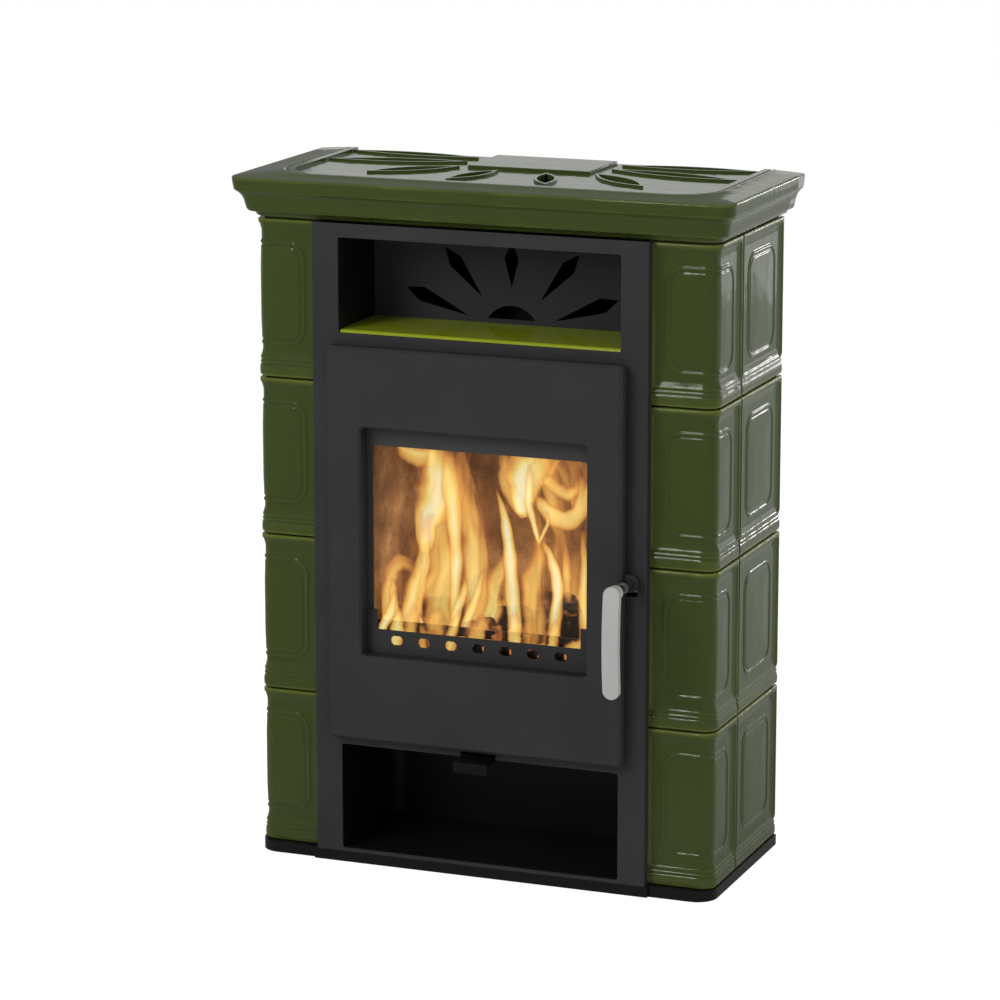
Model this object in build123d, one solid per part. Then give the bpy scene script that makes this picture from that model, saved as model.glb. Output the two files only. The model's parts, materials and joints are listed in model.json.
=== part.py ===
"""Tiled wood stove: glazed tiles and a crown round a steel body with a swinging fire door.

Millimetres, +Z up, +X to the right as seen from the front, -Y towards the viewer.
While modelling, y = 0 is the front plane of the tiles; export moves every piece along Y so
that the origin is the middle of the footprint of the whole stove, on the floor.
"""
from math import cos, radians, sin
import os

from build123d import *

# ---------------------------------------------------------------- driving dimensions
# Tiled body
TILE_PITCH = 220.0          # height of one row of tiles with its joint
TILE_ROWS = 4
TILE_JOINT = 2.0            # open joint between rows
JOINT_SETBACK = 9.0         # strip in the joint, behind the glaze
BODY_WIDTH = 666.0          # over the rims of the tiles
BODY_DEPTH = 280.0          # front rim to the rear end of the side tiles
TILE_LAP = 5.0              # corner tile behind the edge of the steel front
CORNER_LEG_SIDE = 101.0     # corner tile along the side
CORNER_RADIUS = 20.0        # rounded outer edge of the corner tiles
TILE_WALL = 24.0            # rim to the back of a tile
RIM_WIDTH = 10.0            # flat frame round each tile
RIM_FOOT = 24.0             # taller frame along the foot of each tile
RIM_HEAD = 9.0
RECESS_DEPTH = 5.5          # hollow inside the frame
BEAD_DEPTH = 1.5            # crest of the bead round the field, below the frame
FIELD_DEPTH = 4.0           # flat middle of the field, below the frame
BEAD_WIDTH = 6.0
RECESS_WIDTH_SIDE = 20.0    # hollow strip between frame and bead, at the tile's ends
RECESS_WIDTH_EDGE = 12.0    # the same strip on the corner tile, beside the steel front
RECESS_WIDTH_TOP = 17.0     # the same strip above and below
FIELD_CORNER = 22.0         # cut corners of the field

RAIL_FLANGE = 30.0          # flange of the rails behind the tiles

# Base and crown
BASE_HEIGHT = 15.0
BASE_LIP = 9.0              # base stands out past the tiles in front
BASE_SIDE_LIP = 1.0         # and at the sides
BASE_STEP = 4.0             # step of the base past the steel front
BASE_RIM = 30.0             # solid rim that carries the tiles
BASE_FLOOR = 3.0
CROWN_HEIGHT = 60.0
CROWN_OVERHANG = 26.0       # outermost edge past the tile rims
CROWN_REAR = 6.0            # crown past the rear end of the tiles
CROWN_CORNER = 18.0         # rounded front corners of every band
CROWN_BAND = 23.5           # upright band at the top
CROWN_LEAN = 2.0            # band leans in towards its foot
CROWN_SLOPE = 28.5          # sloping frieze under the band
CROWN_SLOPE_OVERHANG = 12.0  # overhang at the foot of the frieze
CROWN_FOOT_OVERHANG = 1.5   # small foot over the tiles
CROWN_WALL = 14.0
CROWN_FRAME_SIDE = 47.0     # width of the outer frame on top, at the sides
CROWN_FRAME_FRONT = 42.0    # and along the front
CROWN_FRAME_CORNER = 60.0   # radius of the frame's inner edge
CROWN_LEDGE = 14.0          # ledge under the edge of the top tiles
TOP_TILE_GAP = 1.0
TOP_TILE_THICKNESS = 14.0
TOP_BORDER = 10.0           # raised border round the pierced top
TOP_FIELD_DROP = 4.0        # pierced field below that border
TOP_LIP = 4.0               # raised lip round each leaf-shaped opening
TOP_LIP_DROP = 1.0          # lip below the border
LEAF_STEPS = 7              # straight steps along each edge of a leaf
COVER_WIDTH = 180.0         # plain cover over the upper flue outlet
COVER_DEPTH = 114.0
COVER_LAP = 6.0             # how far the cover rests on the pierced tile
COVER_LAP_DEPTH = 7.0

# Steel front
PANEL_STILE = 28.5          # steel front beside the door
PANEL_PROUD = 14.0          # face of the steel front, ahead of the tiles
PANEL_EDGE = 1.5            # rounding of its folded edges
RETURN_SETBACK = 0.5        # folded returns end this far ahead of the tile plane
SHEET = 3.0                 # outer sheet
THIN_SHEET = 2.0            # liners and rear cover
NICHE_STILE = 38.5          # steel front beside both niches
NICHE_CORNER = 4.0
HEAD_RAIL = 19.0            # steel front above the warming niche
WARM_NICHE_HEIGHT = 130.0
WARM_NICHE_DEPTH = 125.0    # from the panel face to the pierced back
NICHE_TO_DOOR = 14.5        # steel front between the warming niche and the door
STORE_TO_DOOR = 13.5        # steel front between the wood store and the door
FOOT_RAIL = 5.0             # steel front below the wood store
STORE_HEIGHT = 150.0
STORE_DEPTH = 179.0
STORE_BEND = 20.0           # bend radius of the wood store's rear corners
SHELF_RISE = 4.0            # warming shelf above the lower edge of its niche
SHELF_THICKNESS = 12.0
SHELF_PLAY = 1.0

# Sun cut-out of the warming niche
SUN_SINK = 12.0             # centre of the sun below the niche
SUN_FOOT = 10.0             # flat foot of the sun above the lower edge of the niche
SUN_DISC_RADIUS = 41.0
SUN_HEADROOM = 12.0         # tip of the upright ray below the top of the niche
RAY_INNER = 66.0
RAY_ANGLES = (20.6, 50.0, 90.0, 130.0, 159.4)
RAY_EXTRA = (35.0, 22.0, 0.0, 22.0, 35.0)   # how much longer than the upright ray
RAY_POINT = 24.0            # from the widest part of a ray to its tip
RAY_HALF_WIDTH = 10.5

# Fire door
DOOR_WIDTH = 425.0
DOOR_CORNER = 7.0
DOOR_PROUD = 21.0           # face of the door, ahead of the steel front
DOOR_GAP = 4.0              # open joint between door edge and steel front
DOOR_BEVEL = 4.0            # bevel round the face of the door
LIP_BEVEL = 3.0             # and round its window
DOOR_EDGE_CUT = 1.5         # hinge edge of the leaf cut back from its rear edge
DOOR_FOOT = 120.5           # door below its window
DOOR_HEAD = 110.5           # door above its window
WINDOW_CORNER = 5.0
WINDOW_DEPTH = 25.0         # from the door face to the frame that holds the glass
WINDOW_MARGIN = 17.0        # plug of the door past the window on each side
GLASS_REVEAL = 8.0          # frame seen inside the window, at the sides and below
GLASS_REVEAL_TOP = 27.0     # and above
GLASS_LAP = 10.0            # glass past its opening on every side
GLASS_THICKNESS = 4.0
GLASS_SEAL = 2.0
SEAL_INSET = 2.0            # seal outside the glass opening
GLASS_CORNER = 3.0
THROAT_SIDE = 32.5          # door past the plug that enters the firebox mouth, at the sides
THROAT_FOOT = 32.5          # and below
THROAT_HEAD = 31.5          # and above
THROAT_MARGIN = 4.0         # play round that plug
THROAT_FLANGE = 17.0        # flange of the inner frame past the plug
THROAT_SETBACK = 13.0       # flange ahead of the seat of the glass
THROAT_END = 2.0            # plug past the rear of the glass
THROAT_WALL = 2.5
THROAT_CORNER = 8.0
GASKET_WIDTH = 8.0
GASKET_INSET = 6.0          # gasket out from the plug
GASKET_PLAY = 0.4
CLIP_PLAY = 1.0             # clip beside the edge of the glass
CLIP_FOOT = 8.0
CLIP_LAP = 9.0              # tongue over the glass
CLIP_HEIGHT = 24.0
CLIP_SHEET = 1.5
CLIP_INSET = 60.0           # clips from the lower and upper edge of the glass opening
GUARD_HEIGHT = 34.0         # strip with seven holes at the foot of the window
GUARD_TAB_HEIGHT = 62.0
GUARD_TAB_WIDTH = 15.0
GUARD_HOLES = 7
GUARD_HOLE_PITCH = 39.8
GUARD_HOLE_SIZE = (17.0, 13.0)
GUARD_HOLE_CORNER = 3.5     # cut corners of the holes
GUARD_HOLE_RISE = 20.0      # middle of the holes above the window's lower edge
GUARD_SHEET = 2.0
GUARD_PLAY = 0.5

# Hinge on the left, latch and handle on the right
HINGE_INSET = 8.5           # hinge axis inside the edge of the door
HINGE_SET_BACK = 10.0       # hinge axis behind the face of the door
HINGE_PIN_RADIUS = 2.5
HINGE_CLEARANCE = 0.05
HINGE_FOOT = 56.5           # lower hinge above the foot of the door
HINGE_HEAD = 91.5           # upper hinge below the head of the door
HINGE_BRACKET_HEIGHT = 22.0
HINGE_EYE_HEIGHT = 18.0
HINGE_ARM_HALF = 4.0
HINGE_LIFT = 0.3            # eye above its arm
HINGE_NOTCH = 2.0           # notch in the door's edge below the arm
HINGE_CUT_PLAY = 1.0        # cut-back edge ends this far before the axis
HINGE_NOTCH_PLAY = 0.2      # notch above the top of the arm
HINGE_PIN_SHORT = 2.0       # pin below the top of the eye
HANDLE_OFFSET = 8.0         # handle axis past the edge of the door
HANDLE_RISE = 253.5         # handle axis above the foot of the door
HANDLE_PROUD = 59.0         # face of the grip, ahead of the door
GRIP_WIDTH = 22.5
GRIP_LENGTH = 153.0
GRIP_THICKNESS = 9.0
GRIP_BOW = 6.0
SHAFT_RADIUS = 5.0
SHAFT_CLEARANCE = 0.05
HUB_RADIUS = 7.5
HUB_LENGTH = 26.0
HUB_BEVEL = 1.5
BOSS_RADIUS = 10.0
BOSS_LENGTH = 9.0
LUG_RADIUS = 12.0
LUG_THICKNESS = 7.0
LUG_PLAY = 0.3
CAM_THICKNESS = 4.0
CAM_NOSE = 15.0
CAM_HALF_WIDTH = 5.5
CAM_RADIUS = 6.5            # round end of the cam about the shaft
CAM_PLAY = 0.6
SLOT_HALF_WIDTH = 7.5
SLOT_BELOW = 20.0
SLOT_ABOVE = 9.0
KEEPER_THICKNESS = 2.0
KEEPER_WIDTH = 12.0
LATCH_RELIEF = 24.0         # room above and below the handle axis for the cam
LATCH_RELIEF_DEPTH = 16.0

# Firebox and flue
FIREBOX_SHEET = 4.0
FIREBOX_SIDE = 16.0         # firebox past its mouth on each side
FIREBOX_LIFT = 10.0         # firebox above the wood store
FIREBOX_HEADROOM = 8.0      # air between the firebox and the warming niche
FIREBOX_INSET = 4.0         # air behind the firebox
BRICK = 28.0
BRICK_SET_BACK = 28.0       # bricks start this far behind the steel front's face
GROOVE = 6.0                # upright grooves of the rear brick
GROOVE_DEPTH = 4.0
GROOVE_PITCH = 60.0
HEARTH_DROP = 14.0          # top of the hearth below the glass opening
HEARTH_THICKNESS = 30.0
HEARTH_LEDGE = 14.0
BRICK_RISE = 16.0           # rear brick above the glass opening
BAFFLE_RISE = 40.0
BAFFLE_THICKNESS = 22.0
BAFFLE_OPENING = 46.0       # way for the smoke in front of the baffle
GRATE_PLAY = 1.5
GRATE_THICKNESS = 10.0
GRATE_SUNK = 2.0            # grate below the top of the hearth
GRATE_RIM = 8.0
GRATE_BAR = 8.0
LOG_GUARD_HEIGHT = 44.0
LOG_GUARD_THICKNESS = 6.0
LOG_GUARD_SET_BACK = 6.0    # guard behind the front of the bricks
LOG_GUARD_SLOTS = 7
LOG_GUARD_PITCH = 40.0
LOG_GUARD_SLOT = (18.0, 20.0)
PAN_MARGIN = 46.0           # ash pan inside the firebox at the sides
PAN_FRONT = 2.0             # ash pan behind the front of the bricks
PAN_REAR = 36.0             # ash pan ahead of the rear wall
PAN_HEIGHT = 62.0
PAN_SHEET = 1.5
PAN_RUNNER = 20.0           # width of its runners, and how far they stand in
PAN_LIFT = 6.0              # height of its runners
GRATE_WIDTH = 190.0
GRATE_DEPTH = 130.0
GRATE_BARS = 9
FLUE_RADIUS = 60.0
FLUE_WALL = 2.5
FLUE_INSET = 75.0           # axis of the riser ahead of the rear end of the tiles
FLUE_RISE = 60.0            # axis of the spigot above the lower edge of the warming niche
FLUE_STUB = 40.0            # spigot past the rear of the crown
FLUE_HEAD = 8.0             # riser past the top of the spigot
FLUE_RING = 4.0             # stop ring for the stove pipe, past the spigot's wall
FLUE_RING_LENGTH = 6.0
FLUE_PLAY = 2.0             # play round the ring in the rear cover
CAP_LAP = 3.0
CAP_PLUG = 12.0
CAP_PLAY = 0.5
CARCASS_INSET = 11.0        # inner face of each carcass side inside the edge of the front
REAR_COVER_INSET = 10.0     # rear cover ahead of the rear end of the tiles

# Rear cover
VENT_COLUMNS = 7
VENT_ROWS = 2
VENT_PITCH = 60.0
VENT_ROW_PITCH = 30.0
VENT_RISE = 40.0            # lower row of vents above the floor of the wood store
VENT_LENGTH = 44.0
VENT_HEIGHT = 8.0
SCREWS_PER_SIDE = 4
SCREW_FOOT = 65.0           # lowest screw above the base
SCREW_HEAD = 35.0           # highest screw below the top of the tiles
SCREW_RADIUS = 5.0
SCREW_THICKNESS = 3.0

# Air slide under the firebox
SLIDE_WIDTH = 49.0
SLIDE_OUT = 30.0            # how far its tab stands out at rest
SLIDE_LENGTH = 120.0        # behind the steel front
SLIDE_LIP = 14.0
SLIDE_PLAY = 0.3
SLIDE_SHEET = 2.5
SLIDE_BEND = 2.0            # rounding of its turned-down lip
GUIDE_PLAY = 1.0            # runners beside and below the slide
GUIDE_SHEET = 2.0
GUIDE_LAP = 4.0             # runners under the edge of the slide
GUIDE_SHORT = 10.0          # runners end before the slide does
NOTCH_HEIGHT = 7.0
NOTCH_PLAY = 1.0            # notch past the slide on each side
PORT_MARGIN = 8.0           # slide past the air port on each side
PORT_Y = 30.0
PORT_LENGTH = 20.0

# ---------------------------------------------------------------- derived sizes
HALF_WIDTH = BODY_WIDTH / 2
HALF_DOOR = DOOR_WIDTH / 2
HALF_PANEL = HALF_DOOR + PANEL_STILE
PANEL_WIDTH = 2 * HALF_PANEL
HALF_NICHE = HALF_PANEL - NICHE_STILE
NICHE_WIDTH = 2 * HALF_NICHE
CORNER_LEG_FRONT = HALF_WIDTH - HALF_PANEL + TILE_LAP
CARCASS_X = HALF_PANEL - CARCASS_INSET

TILE_BOTTOM = BASE_HEIGHT
TILE_TOP = TILE_BOTTOM + TILE_PITCH * TILE_ROWS
CROWN_TOP = TILE_TOP + CROWN_HEIGHT
REAR_END = BODY_DEPTH + CROWN_REAR
FRAME_HALF = HALF_WIDTH + CROWN_OVERHANG - CROWN_FRAME_SIDE
COVER_FRONT = REAR_END - COVER_DEPTH

WARM_NICHE_TOP = TILE_TOP - HEAD_RAIL
WARM_NICHE_BOTTOM = WARM_NICHE_TOP - WARM_NICHE_HEIGHT
SHELF_TOP = WARM_NICHE_BOTTOM + SHELF_RISE
LINER_BOTTOM = SHELF_TOP - SHELF_THICKNESS - THIN_SHEET
SUN_CENTRE_Z = WARM_NICHE_BOTTOM - SUN_SINK
SUN_FOOT_Z = WARM_NICHE_BOTTOM + SUN_FOOT
RAY_REACH = WARM_NICHE_TOP - SUN_HEADROOM - SUN_CENTRE_Z
STORE_BOTTOM = BASE_HEIGHT + FOOT_RAIL
STORE_TOP = STORE_BOTTOM + STORE_HEIGHT

DOOR_BOTTOM = STORE_TOP + STORE_TO_DOOR
DOOR_TOP = WARM_NICHE_BOTTOM - NICHE_TO_DOOR
PANEL_FACE = -PANEL_PROUD
PANEL_BACK = PANEL_FACE + SHEET
DOOR_FACE = PANEL_FACE - DOOR_PROUD
DOOR_BACK = PANEL_FACE - DOOR_GAP
THROAT_WIDTH = DOOR_WIDTH - 2 * THROAT_SIDE
THROAT_BOTTOM = DOOR_BOTTOM + THROAT_FOOT
THROAT_TOP = DOOR_TOP - THROAT_HEAD
MOUTH_WIDTH = THROAT_WIDTH + 2 * THROAT_MARGIN
MOUTH_BOTTOM = THROAT_BOTTOM - THROAT_MARGIN
MOUTH_TOP = THROAT_TOP + THROAT_MARGIN
WINDOW_WIDTH = THROAT_WIDTH - 2 * WINDOW_MARGIN
WINDOW_BOTTOM = DOOR_BOTTOM + DOOR_FOOT
WINDOW_TOP = DOOR_TOP - DOOR_HEAD
SEAT_Y = DOOR_FACE + WINDOW_DEPTH          # front of the frame that holds the glass
FLANGE_FRONT = SEAT_Y - THROAT_SETBACK
GLASS_OPENING_WIDTH = WINDOW_WIDTH - 2 * GLASS_REVEAL
GLASS_OPENING_BOTTOM = WINDOW_BOTTOM + GLASS_REVEAL
GLASS_OPENING_TOP = WINDOW_TOP - GLASS_REVEAL_TOP
GLASS_FRONT = SEAT_Y + SHEET + GLASS_SEAL
GLASS_BACK = GLASS_FRONT + GLASS_THICKNESS

HINGE_X = -HALF_DOOR + HINGE_INSET
HINGE_Y = DOOR_FACE + HINGE_SET_BACK
HINGE_HEIGHTS = (DOOR_BOTTOM + HINGE_FOOT, DOOR_TOP - HINGE_HEAD)
HANDLE_X = HALF_DOOR + HANDLE_OFFSET
HANDLE_Z = DOOR_BOTTOM + HANDLE_RISE
GRIP_FACE = DOOR_FACE - HANDLE_PROUD
GRIP_BACK = GRIP_FACE + GRIP_THICKNESS

REAR_COVER_Y = BODY_DEPTH - REAR_COVER_INSET
FIREBOX_WIDTH = MOUTH_WIDTH + 2 * FIREBOX_SIDE
FIREBOX_BOTTOM = STORE_TOP + FIREBOX_LIFT
FIREBOX_TOP = LINER_BOTTOM - FIREBOX_HEADROOM
FIREBOX_REAR = REAR_COVER_Y - FIREBOX_INSET
INNER_HALF = FIREBOX_WIDTH / 2 - FIREBOX_SHEET
INNER_REAR = FIREBOX_REAR - FIREBOX_SHEET
HEARTH_TOP = GLASS_OPENING_BOTTOM - HEARTH_DROP
HEARTH_BOTTOM = HEARTH_TOP - HEARTH_THICKNESS
BRICK_TOP = GLASS_OPENING_TOP + BRICK_RISE
MOUTH_Y = PANEL_FACE + BRICK_SET_BACK
GRATE_Y = (MOUTH_Y + INNER_REAR) / 2
BAFFLE_FRONT = MOUTH_Y + BAFFLE_OPENING
FLUE_Y = BODY_DEPTH - FLUE_INSET
FLUE_Z = WARM_NICHE_BOTTOM + FLUE_RISE
FLUE_TOP = FLUE_Z + FLUE_RADIUS + FLUE_HEAD
FLUE_END = REAR_END + FLUE_STUB
ORIGIN_SHIFT = -BODY_DEPTH / 2  # puts the middle of the tiled body at y = 0

os.makedirs("parts", exist_ok=True)


# ---------------------------------------------------------------- helpers
def block(x_span, y_span, z_span):
    """A box between two limits on each axis."""
    size = [high - low for low, high in (x_span, y_span, z_span)]
    middle = [(high + low) / 2 for low, high in (x_span, y_span, z_span)]
    return Pos(*middle) * Box(*size)


def upright(y, sketch, thickness):
    """A sketch drawn as seen from the front (x, z), standing at y and thick towards the viewer."""
    return extrude(Plane.XZ.offset(-y) * sketch, amount=thickness)


def level(z, sketch, thickness):
    """A plan sketch (x, y) lying at z and thick upwards."""
    return extrude(Plane.XY.offset(z) * sketch, amount=thickness)


def window(width, bottom, top, radius):
    """A rounded rectangle centred on the stove, as seen from the front."""
    return Pos(0, (bottom + top) / 2) * RectangleRounded(width, top - bottom, radius)


def rod(radius, start, end):
    """A round bar from one point to another."""
    axis = Vector(*end) - Vector(*start)
    return Plane(origin=start, z_dir=axis) * Cylinder(
        radius, axis.length, align=(Align.CENTER, Align.CENTER, Align.MIN))


def outline(points):
    """A closed face through straight corners."""
    return make_face(Polyline(*points, close=True))


def both_sides(piece):
    """A piece together with its mirror image about the middle of the stove."""
    return piece + mirror(piece, about=Plane.YZ)


written = {}


def write(name, piece):
    """Moves a piece to the common origin and writes it as one sub-part."""
    solids = [Pos(0, ORIGIN_SHIFT, 0) * solid for solid in piece.solids()]
    written[name] = sum(solid.volume for solid in solids)
    export_step(solids[0] if len(solids) == 1 else Compound(children=solids), f"parts/{name}.step")


# ---------------------------------------------------------------- glazed tiles
def corner_plan(depth, front_end, side_end, back):
    """Plan of a band round the right front corner.

    depth is how far its outer face lies below the tile rims, front_end the x where it stops on
    the front, side_end the y where it stops on the side, and back the depth of its inner face.
    """
    outer_x = HALF_WIDTH - depth
    inner_x = HALF_WIDTH - back
    radius = CORNER_RADIUS - depth
    edge = [
        Line((front_end, back), (front_end, depth)),
        Line((front_end, depth), (outer_x - radius, depth)),
        RadiusArc((outer_x - radius, depth), (outer_x, depth + radius), -radius),
        Line((outer_x, depth + radius), (outer_x, side_end)),
        Line((outer_x, side_end), (inner_x, side_end)),
        Line((inner_x, side_end), (inner_x, back)),
        Line((inner_x, back), (front_end, back)),
    ]
    return make_face(Wire(edge))


def cut_corners(width, height, cut):
    """A rectangle with its four corners cut off at 45 degrees."""
    shape = Rectangle(width, height)
    return chamfer(shape.vertices(), cut)


def cut_ends(piece, front_x, side_y, heights, cut):
    """Keeps the part of a band inside cut outlines seen from the front and from the side."""
    low, high = heights
    past = BODY_WIDTH
    middle = (low + high) / 2
    front = Pos(front_x + past / 2, middle) * cut_corners(past, high - low, cut)
    side = Pos(side_y - past / 2, middle) * cut_corners(past, high - low, cut)
    through_front = extrude(Plane.XZ * front, amount=past, both=True)
    through_side = extrude(Plane.YZ * side, amount=past, both=True)
    return piece & through_front & through_side


def relief_levels():
    """Heights inside one tile where the hollow, the bead and the field start and end."""
    foot = RIM_FOOT
    head = TILE_PITCH - TILE_JOINT - RIM_HEAD
    bead = (foot + RECESS_WIDTH_TOP, head - RECESS_WIDTH_TOP)
    field = (bead[0] + BEAD_WIDTH, bead[1] - BEAD_WIDTH)
    return (foot, head), bead, field


def corner_tile(z):
    """Right-hand corner tile: a framed hollow with one beaded field that wraps the corner."""
    recess_z, bead_z, field_z = relief_levels()
    near_x = HALF_WIDTH - CORNER_LEG_FRONT
    far_y = CORNER_LEG_SIDE
    recess_ends = (near_x + RIM_WIDTH, far_y - RIM_WIDTH)
    bead_ends = (recess_ends[0] + RECESS_WIDTH_EDGE, recess_ends[1] - RECESS_WIDTH_SIDE)
    field_ends = (bead_ends[0] + BEAD_WIDTH, bead_ends[1] - BEAD_WIDTH)
    above = 1.0

    def band(depth, back, ends, heights, cut):
        piece = level(z + heights[0], corner_plan(depth, *ends, back), heights[1] - heights[0])
        return cut_ends(piece, *ends, (z + heights[0], z + heights[1]), cut)

    body = level(z, corner_plan(0, near_x, far_y, TILE_WALL), TILE_PITCH - TILE_JOINT)
    body -= band(-above, RECESS_DEPTH, recess_ends, recess_z, FIELD_CORNER)
    body += band(BEAD_DEPTH, RECESS_DEPTH + above, bead_ends, bead_z, FIELD_CORNER)
    body -= band(-above, FIELD_DEPTH, field_ends, field_z, FIELD_CORNER - BEAD_WIDTH / 2)
    return body


def side_tile(z):
    """Right-hand side tile behind the corner tile: a framed hollow with a beaded field."""
    recess_z, bead_z, field_z = relief_levels()
    near_y = CORNER_LEG_SIDE + TILE_JOINT
    far_y = BODY_DEPTH

    def pad(depth, back, margin, heights, cut):
        """A rectangle with cut corners on the side of the stove between two depths."""
        width = far_y - near_y - 2 * margin
        height = heights[1] - heights[0]
        face = cut_corners(width, height, cut)
        face = Plane.YZ * (Pos((near_y + far_y) / 2, z + sum(heights) / 2) * face)
        return Pos(HALF_WIDTH - back, 0, 0) * extrude(face, amount=back - depth)

    above = 1.0
    recess_margin = RIM_WIDTH
    bead_margin = recess_margin + RECESS_WIDTH_SIDE
    field_margin = bead_margin + BEAD_WIDTH
    body = block((HALF_WIDTH - TILE_WALL, HALF_WIDTH), (near_y, far_y),
                 (z, z + TILE_PITCH - TILE_JOINT))
    body -= pad(-above, RECESS_DEPTH, recess_margin, recess_z, FIELD_CORNER)
    body += pad(BEAD_DEPTH, RECESS_DEPTH, bead_margin, bead_z, FIELD_CORNER)
    body -= pad(-above, FIELD_DEPTH, field_margin, field_z, FIELD_CORNER - BEAD_WIDTH / 2)
    return body


def joint_strips():
    """Fibre strips in the open joints between the rows, set back from the glaze."""
    setback = JOINT_SETBACK
    strips = []
    for row in range(1, TILE_ROWS + 1):
        z = TILE_BOTTOM + row * TILE_PITCH - TILE_JOINT
        corner = corner_plan(setback, HALF_WIDTH - CORNER_LEG_FRONT, CORNER_LEG_SIDE,
                             TILE_WALL)
        side = block((HALF_WIDTH - TILE_WALL, HALF_WIDTH - setback),
                     (CORNER_LEG_SIDE, BODY_DEPTH), (z, z + TILE_JOINT))
        strips.append(both_sides(level(z, corner, TILE_JOINT) + side))
    return Compound(children=[solid for strip in strips for solid in strip.solids()])


def tile_rails():
    """Four upright angle rails between the carcass sides and the backs of the tiles."""
    reach = HALF_WIDTH - TILE_WALL
    z_span = (TILE_BOTTOM, TILE_TOP)
    rails = []
    for y in (CORNER_LEG_SIDE - 2 * RAIL_FLANGE / 3, BODY_DEPTH - 4 * RAIL_FLANGE / 3):
        web = block((CARCASS_X + THIN_SHEET, reach), (y, y + THIN_SHEET), z_span)
        flange = block((reach - THIN_SHEET, reach), (y, y + RAIL_FLANGE), z_span)
        rails.append(both_sides(web + flange))
    return Compound(children=[solid for rail in rails for solid in rail.solids()])


for row in range(TILE_ROWS):
    foot_z = TILE_BOTTOM + row * TILE_PITCH
    corner = corner_tile(foot_z)
    side = side_tile(foot_z)
    write(f"corner_tile_right_{row + 1}", corner)
    write(f"corner_tile_left_{row + 1}", mirror(corner, about=Plane.YZ))
    write(f"side_tile_right_{row + 1}", side)
    write(f"side_tile_left_{row + 1}", mirror(side, about=Plane.YZ))
write("joint_strips", joint_strips())
write("tile_rails", tile_rails())


# ---------------------------------------------------------------- crown
def crown_outline(overhang):
    """Plan of the crown at one overhang: rounded front corners, square rear corners."""
    half = HALF_WIDTH + overhang
    front = -overhang
    shape = Pos(0, (front + REAR_END) / 2) * Rectangle(2 * half, REAR_END - front)
    return fillet(shape.vertices().sort_by(Axis.Y)[:2], CROWN_CORNER)


def crown_step(z_low, z_high, over_low, over_high):
    """One band of the cornice, ruled from its lower outline to its upper one."""
    low = Plane.XY.offset(z_low) * crown_outline(over_low)
    high = Plane.XY.offset(z_high) * crown_outline(over_high)
    return loft([low, high], ruled=True)


def frame_opening(grow):
    """Plan of the crown's inner opening, open to the rear, grown outwards by a gap."""
    half = FRAME_HALF + grow
    front = -CROWN_OVERHANG + CROWN_FRAME_FRONT - grow
    shape = Pos(0, (front + REAR_END) / 2) * Rectangle(2 * half, REAR_END - front)
    return fillet(shape.vertices().sort_by(Axis.Y)[:2], CROWN_FRAME_CORNER + grow)


def crown_cornice():
    """The moulded frame: band, sloping frieze and a small foot, hollow underneath."""
    slope_top = CROWN_TOP - CROWN_BAND
    slope_foot = slope_top - CROWN_SLOPE
    band_foot = CROWN_OVERHANG - CROWN_LEAN
    crown = crown_step(slope_top, CROWN_TOP, band_foot, CROWN_OVERHANG)
    crown += crown_step(slope_foot, slope_top, CROWN_SLOPE_OVERHANG, band_foot)
    crown += crown_step(TILE_TOP, slope_foot, -CROWN_FOOT_OVERHANG, CROWN_FOOT_OVERHANG)
    inner = HALF_WIDTH - TILE_WALL
    crown -= block((-inner, inner), (TILE_WALL, REAR_END),
                   (TILE_TOP, CROWN_TOP - CROWN_WALL - TOP_TILE_THICKNESS))
    ledge = CROWN_TOP - TOP_TILE_THICKNESS
    crown -= level(ledge, frame_opening(0), CROWN_TOP - ledge)
    crown -= level(TILE_TOP, frame_opening(-CROWN_LEDGE), CROWN_TOP - TILE_TOP)
    return crown


def leaf(start, end, half_width):
    """A pointed leaf between two tips: each edge bows out as a parabola of half_width."""
    axis = Vector(*end) - Vector(*start)
    across = Vector(-axis.Y, axis.X, 0).normalized() * half_width
    corners = []
    for side in (1, -1):
        for step in range(LEAF_STEPS):
            share = step / LEAF_STEPS if side > 0 else 1 - step / LEAF_STEPS
            corner = Vector(*start) + axis * share + across * (side * 4 * share * (1 - share))
            corners.append((corner.X, corner.Y))
    return outline(corners)


# Openwork of the crown as a fan, right half: tip nearest the middle, far tip, half width
LEAF_END = FRAME_HALF - 28.0
LEAVES = (
    ((122.0, REAR_END - 28.0), (LEAF_END, REAR_END - 20.0), 12.0),
    ((120.0, REAR_END - 74.0), (LEAF_END, REAR_END - 106.0), 14.0),
    ((106.0, COVER_FRONT - 10.0), (LEAF_END - 92.0, COVER_FRONT - 86.0), 15.0),
    ((38.0, COVER_FRONT - 30.0), (68.0, COVER_FRONT - 114.0), 12.0),
)


def cover_plan(inset):
    """Plan of the plain cover at the rear, drawn in by an inset on three sides."""
    front = COVER_FRONT + inset
    return Pos(0, (front + REAR_END) / 2) * Rectangle(COVER_WIDTH - 2 * inset, REAR_END - front)


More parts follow.
